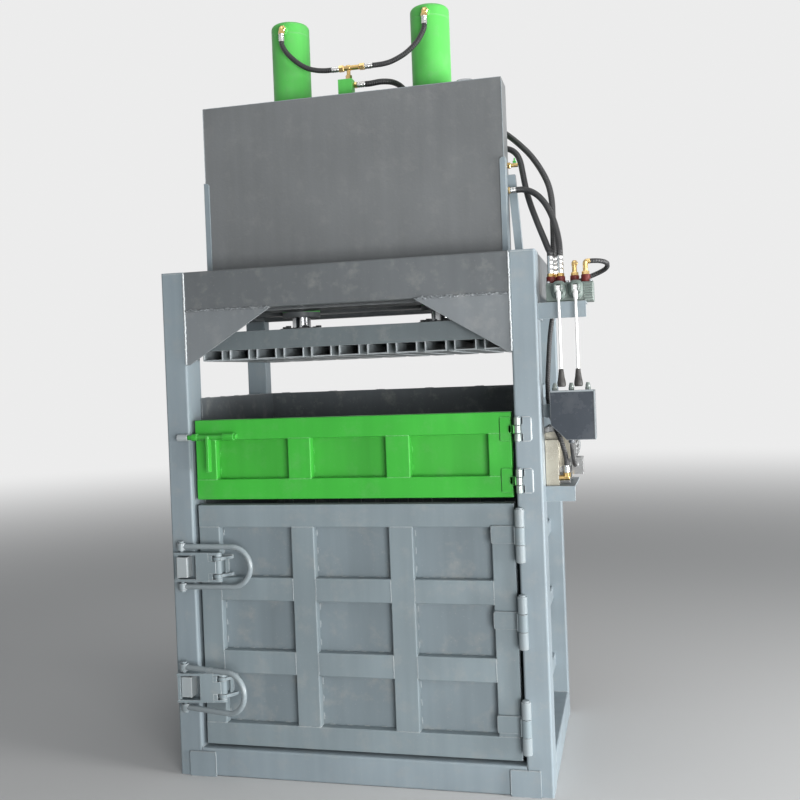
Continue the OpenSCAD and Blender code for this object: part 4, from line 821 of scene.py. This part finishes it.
# ---- Hydraulic cylinders
# Honed tube barrels with a turned end cap, a thrust collar under the saddle plates, a welded
# port boss at each end, sprayed green. The gland is screwed into the lower end.
cylinder_green = painted("cylinder_green", (0.118, 0.57, 0.110), (0.30, 0.60, 0.30), grime=0.3)
tube_r, turn_r, cap_top, port_top, port_low = 81.5, 18, 3105, 3065, 2108
barrel = [
    (70, 1868), (79, 1868), (tube_r, 1870.5), (tube_r, 1960), (90, 1960), (93, 1963), (93, 1982),
    (90, 1985), (tube_r, 1985), (tube_r, 3052), (80.6, 3053), (80.6, 3055.5), (tube_r, 3056.5)]
barrel += [(tube_r - turn_r + turn_r * math.sin(a), cap_top - turn_r + turn_r * math.cos(a))
           for a in np.radians(np.arange(90, -1, -15))] + [(30, cap_top)]
parts = []
for x in cyl_xs:
    parts += [revolve(barrel, (x, cyl_y, 0), sides=96),
              revolve([(15, -93.5), (16, -92.5), (16, -78)], (x, cyl_y, port_top), 1, 36),
              revolve([(16, 78), (16, 92.5), (15, 93.5)], (x, cyl_y, port_low), 1, 36)]
piece("green_barrels", parts, cylinder_green, "frame", ("cylinder_barrels",))
# The glands take the same near-black grey, painted shade.
dress(flange_shaded_grey, "cylinder_glands")

# ---- Oil tank
# A shallow welded box of thin sheet standing on the front cross beam behind the header, held by
# corner uprights and slanted stays. Its big faces are slightly dented.
# The tank's grey is darkened as painted shade, high on the machine where the light is dimmer.
tank_shaded_grey = painted("tank_shaded_grey", (0.160, 0.169, 0.173), (0.44, 0.46, 0.47), grime=0.3, dents=5.0)


def sheet_box(low, high, cells, dent):
    """A box whose front and back faces are grids that wander in and out by a sum of slow sines."""
    (x0, y0, z0), (x1, y1, z1) = low, high
    u = np.linspace(0, 1, cells)[None, :]
    v = np.linspace(0, 1, cells)[:, None]
    edge = np.clip(16 * u * (1 - u) * v * (1 - v), 0, 1) ** 0.5
    wave = (0.5 + 0.25 * np.sin(7.3 * u + 2.1 * v + 0.7) + 0.2 * np.sin(11.1 * v - 4.7 * u)
            + 0.12 * np.sin(23 * u + 9 * v)) * edge * dent
    x = x0 + (x1 - x0) * u + 0 * v
    z = z0 + (z1 - z0) * v + 0 * u
    big_faces = [np.stack([x, y, z], axis=-1).reshape(-1, 3)
                 for y in (y0 + wave, y1 - wave[:, ::-1])]
    i, j = np.meshgrid(np.arange(cells - 1), np.arange(cells - 1), indexing="ij")
    a = (i * cells + j).ravel()
    quads = np.stack([a, a + 1, a + cells + 1, a + cells], axis=1)
    rim = np.concatenate([np.arange(cells), np.arange(1, cells) * cells + cells - 1,
                          (cells - 1) * cells + np.arange(cells - 2, -1, -1),
                          np.arange(cells - 2, 0, -1) * cells])
    n = cells * cells
    nxt = np.roll(rim, -1)
    sides = np.stack([rim, rim + n, nxt + n, nxt], axis=1)
    faces = quads.tolist() + (quads[:, ::-1] + n).tolist() + sides.tolist()
    return np.concatenate(big_faces) * MM, faces


tank_half, tank_front, tank_back, tank_top = 625, -270, -130, 2722
piece("tank_shell", [sheet_box((-tank_half, tank_front, top), (tank_half, tank_back, tank_top),
                               40, 2.4)],
      tank_shaded_grey, "frame", ("oil_tank",), angle=30)
dress(frame_grey, "tank_brackets")
dress(zinc, "tank_cap")
seam_y = tank_front + 0.5
welds("tank_beads", [
    bead((s * tank_half, seam_y, 2410), (s * tank_half, seam_y, tank_top - 2), 1.6)
    for s in (-1, 1)] + [
    bead((-622, seam_y, tank_top - 1), (622, seam_y, tank_top - 1), 1.3),
    bead((-600, tank_front - 1, top + 0.5), (600, tank_front - 1, top + 0.5), 2.2)] + [
    bead((s * 634, -160, top + 2), (s * 634, -136, top + 2), 2.4) for s in (-1, 1)])

# ---- Tee, elbows and crimped ferrules
# Brass elbows and a tee join the top hoses to the green distribution block. Hose ends are
# crimped into plated ferrules behind hexagonal nuts; only the pump hose sits on a bare elbow.
brass = bare("yellow_brass", (0.72, 0.50, 0.20), (0.55, 0.40, 0.19))
ferrule_steel = bare("ferrule_steel", (0.68, 0.68, 0.67), (0.5, 0.5, 0.5), polish=0.4)
red_paint = painted("port_red", (0.125, 0.014, 0.013), (0.34, 0.09, 0.08), grime=0.2, rim=0.001)


def nut(place, axis, start, end, r):
    """A hexagon with both corners turned off: six sides, full size between two smaller rings."""
    return revolve([(r * 0.86, start), (r, start + 2), (r, end - 2), (r * 0.86, end)],
                   place, axis, sides=6)


def ferrule(place, axis, start, end, r=12.5):
    """A crimped sleeve: shallow grooves pressed round it, and a smaller ring at each end."""
    s = np.linspace(0, 1, 15)
    crimp = 1 - 0.09 * (np.sin(s * 8 * np.pi) > 0)
    radius = r * crimp * np.where((s < 0.05) | (s > 0.95), 0.93, 1)
    return revolve(np.stack([radius, start + (end - start) * s], axis=1), place, axis, sides=28)


def pipe(points, r):
    """A round tube of radius r on a smooth curve through points, all in mm."""
    return sweep(smooth_route(points, 4), r * MM, 20)


# The tee, the hose ports and the level cock lie along X, and the tee's stem along Z.
hose_y, tee_z, stem_x, return_y, return_z = -150, 2862, -20, -95, 2483
tee, main_port, return_port = (0, hose_y, tee_z), (0, -145, 2790), (0, return_y, return_z)
tank_port, cock, stem = (0, -200, 2292), (0, -170, 2396), (stem_x, hose_y, 0)
brass_parts, steel_parts, red_parts = [], [], []
for x in cyl_xs:
    brass_parts += [pipe([(x, -128, port_top), (x, -137, port_top), (x, -146, port_top - 3),
                          (x, hose_y, 3054), (x, hose_y, 3043)], 10),
                    nut((x, 0, port_top), 1, -140, -128, 14),
                    nut((x, hose_y, 0), 2, 3036, 3050, 14)]
    steel_parts += [ferrule((x, hose_y, 0), 2, 3005, 3037)]
brass_parts += [revolve([(9, -40), (10, -39), (10, 27), (9, 28)], tee, 0, 28),
                nut(tee, 0, -61, -39, 14), nut(tee, 0, 27, 51, 14),
                revolve([(12, -8), (13, -6), (13, 6), (12, 8)], (stem_x, hose_y, tee_z), 0, 28),
                revolve([(8, 2812), (8, tee_z)], stem, 2, 24), nut(stem, 2, 2812, 2832, 14),
                revolve([(9, -1), (9, 16)], main_port, 0, 24), nut(main_port, 0, 2, 14, 13),
                pipe([(520, -130, return_z), (520, -112, return_z), (522, -100, return_z),
                      (530, return_y, return_z), (546, return_y, return_z)], 11),
                nut((520, 0, return_z), 1, -130, -119, 15), nut(tank_port, 0, 625, 639, 14),
                nut(cock, 0, 626, 640, 13), revolve([(8, 640), (8, 668)], cock, 0, 24)]
steel_parts += [ferrule(*sleeve) for sleeve in (
    (tee, 0, -92, -60), (tee, 0, 50, 84), (main_port, 0, 15, 50), (return_port, 0, 545, 585),
    (tank_port, 0, 638, 662))]
# Five ports in red rings on the valve: the first three take hoses, the last two elbows.
ports = ((807, -312, 15), (797, -360, 17), (833, -360, 17), (885, -360, 17), (926, -380, 17))
elbow_z = 1975
for i, (x, y, r) in enumerate(ports):
    red_parts += [revolve([(r - 1, 1900), (r, 1901), (r, 1925), (r - 1, 1926)], (x, y, 0), 2, 32)]
    brass_parts += [nut((x, y, 0), 2, 1925, 1939, 14)]
    if i < 3:
        steel_parts += [ferrule((x, y, 0), 2, 1938, 2005)]
    else:
        brass_parts += [revolve([(9, 1938), (9, 1968)], (x, y, 0), 2, 24)]
brass_parts += [pipe([(885, -360, 1962), (885, -359, 1971), (885, -352, elbow_z),
                      (885, -340, elbow_z), (885, -326, elbow_z)], 10),
                pipe([(926, -380, 1962), (927, -380, 1971), (932, -380, elbow_z),
                      (938, -380, elbow_z), (944, -380, elbow_z)], 9.5),
                nut((885, 0, elbow_z), 1, -338, -326, 13)]
pump_x, pump_y, pump_z = 829, -338, 1170
brass_parts += [revolve([(9, 800), (10, 801), (10, 838), (9, 839)], (0, pump_y, pump_z), 0, 24),
                nut((pump_x, pump_y, 0), 2, pump_z, 1190, 14)]
steel_parts += [ferrule((pump_x, pump_y, 0), 2, 1189, 1218, 11)]
piece("brass_joints", brass_parts, brass, "frame", ("hose_fittings",), angle=35)
piece("crimped_ferrules", steel_parts, ferrule_steel, "frame", ("hose_fittings",))
piece("port_rings", red_parts, red_paint, "frame", ("hose_fittings",))
dress(cylinder_green, "port_block")
piece("cock_handle", [beam((648, -176, 2406), (662, -164, 2412), 2, 2, cut=1),
                      beam((652, -173, 2412), (658, -167, 2424), 2, 2, cut=1)],
      green, "frame")

# ---- Hand valve and its levers
# A two-spool cast valve on a folded shelf, ribbed at its right end. Each spool is worked by a
# plated rod that turns between two cast ears and carries a tapered rubber grip.
valve_paint = painted("valve_casting", (0.165, 0.208, 0.188), (0.44, 0.48, 0.46), grime=0.9,
                      rim=0.003)
spool_xs, spool_z = (829, 890), 1872


def shield(x):
    """A cast boss with a rounded square outline that narrows towards the front.

    The outline's cosine and sine keep their signs and are raised to a power below one.
    """
    a = np.arange(40) * 2 * np.pi / 40
    round_cos = np.sign(np.cos(a)) * np.abs(np.cos(a)) ** 0.75
    round_sin = np.sign(np.sin(a)) * np.abs(np.sin(a)) ** 0.75
    rows = [(-399, 27, 34), (-414, 27, 34), (-421, 25, 32), (-425, 20, 27), (-426, 16, 23),
            (-422, 13, 19)]
    rings = np.array([np.stack([x + w * round_cos, y + 0 * a, spool_z + h * round_sin], axis=1)
                      for y, w, h in rows])
    return ring_stack(rings * MM)


cast = [beam((780, -400, 1828), (953, -300, 1900), 0, 7)]
for x in spool_xs:
    cast += [shield(x)]
    cast += [beam((x + side - 3.5, -462, 1862), (x + side + 3.5, -420, 1888), 1, 3)
             for side in (-11.5, 11.5)]
cast += [beam((918, -404 - 1.5 * (i % 2), 1832 + 9 * i), (951, -398, 1839 + 9 * i), 0, 2)
         for i in range(7)]
piece("valve_body", cast, valve_paint, "frame", ("valve_block",))
dress(frame_grey, "side_shelves")
rod_white = bare("lever_rod", (0.82, 0.82, 0.81), (0.74, 0.74, 0.74), metallic=0.3)
lever_y, pivot_z = -450, 1875
for name, x in zip(("valve_lever_left", "valve_lever_right"), spool_xs):
    pivot = (x, lever_y, pivot_z)
    piece(name + "_rod", [
        revolve([(3, 1884), (8, 1881), (9, 1872), (9, 1846), (8, 1838), (5, 1832), (5, 1518)],
                (x, lever_y, 0), sides=24),
        revolve([(10, -7.5), (11, -6.5), (11, 6.5), (10, 7.5)], pivot, 0, 32),
        revolve([(3.9, -15.5), (3.9, 15.5)], pivot, 0, 20)],
          rod_white, name, (name,))
grip_black, t = new_material("grip_rubber")
place = object_place(t)
grain = noise(t, place, 180.0, 3.0)
wear = noise(t, place, 22.0)
tone = mixed(t, mapped(t, wear, 0.4, 0.7), (0.016, 0.015, 0.014, 1), (0.05, 0.047, 0.043, 1))
bump = node(t, "Bump", {"Height": grain, "Strength": 0.3, "Distance": 0.0005})
surface(t, {"Base Color": tone, "Roughness": mapped(t, wear, 0, 1, 0.4, 0.7),
            "Normal": bump.outputs[0]})
s = np.linspace(0, 1, 30)
grip_low, grip_len = 1515, 65
shape = np.interp(s * grip_len, [0, 2, 8, 14, 36, 61, 65], [12.5, 14.5, 16, 16, 12, 9, 7.5])
shape -= 0.5 * (np.sin(s * 26 * np.pi) > 0.3) * ((s > 0.12) & (s < 0.9))
profile = np.stack([shape, grip_low + grip_len * s], axis=1)
for side, x in zip(("left", "right"), spool_xs):
    piece("lever_grip_" + side + "_rubber", [revolve(profile, (x, lever_y, 0), sides=32)],
          grip_black, "valve_lever_" + side, ("lever_grip_" + side,))
bolts = [nut((x, y, 0), 2, 1900, 1907, 7) for x in (790, 858, 944) for y in (-390, -312)]
piece("valve_screws", bolts, zinc, "frame")

# ---- Starter box
# A folded sheet box with its lower left corner cut away, on a plate from the post. The cover is
# plain, with pale lips on its top and right edges as a painted highlight; plated cable glands stand
# on its top.
box_grey = painted("box_grey", (0.032, 0.041, 0.053), (0.50, 0.53, 0.54), grime=0.08, rim=0.004,
                   gloss=0.16)
dress(box_grey, "starter_box", "starter_box_cover")
# Pale strips along the cover's top and right edges: a painted highlight where they face the light.
piece("cover_lip_highlights", [beam((785, -432, 1495), (946, -429.5, 1501.5), 0, 1, cut=0.8),
                     beam((941, -432, 1320), (946.5, -429.5, 1501), 2, 1, cut=0.8)],
      bead_grey)
piece("box_glands", [part for x in (798, 859, 920) for part in (
    nut((x, -375, 0), 2, 1500.2, 1512, 10.4),
    revolve([(8, 1511), (9, 1512), (9, 1519), (7, 1525), (6.2, 1528.2)], (x, -375, 0), 2, 28))],
    plated_white, "frame")

# ---- Power pack
# A finned motor lying on a folded shelf with a gear pump on its front end, a terminal box on
# its side and a fan under a drilled cowl at the back.
cast_alloy = bare("cast_alloy", (0.27, 0.275, 0.275), (0.20, 0.205, 0.205), metallic=0.5)
dress(cast_alloy, "motor")
dress(bare("pump_casting", (0.42, 0.40, 0.33), (0.30, 0.28, 0.23), metallic=0.3), "pump")
cowl_grey = painted("cowl_grey", (0.19, 0.21, 0.22), (0.45, 0.47, 0.48))
dress(cowl_grey, "motor_cowl")
dress(grip_black, "motor_rotor")
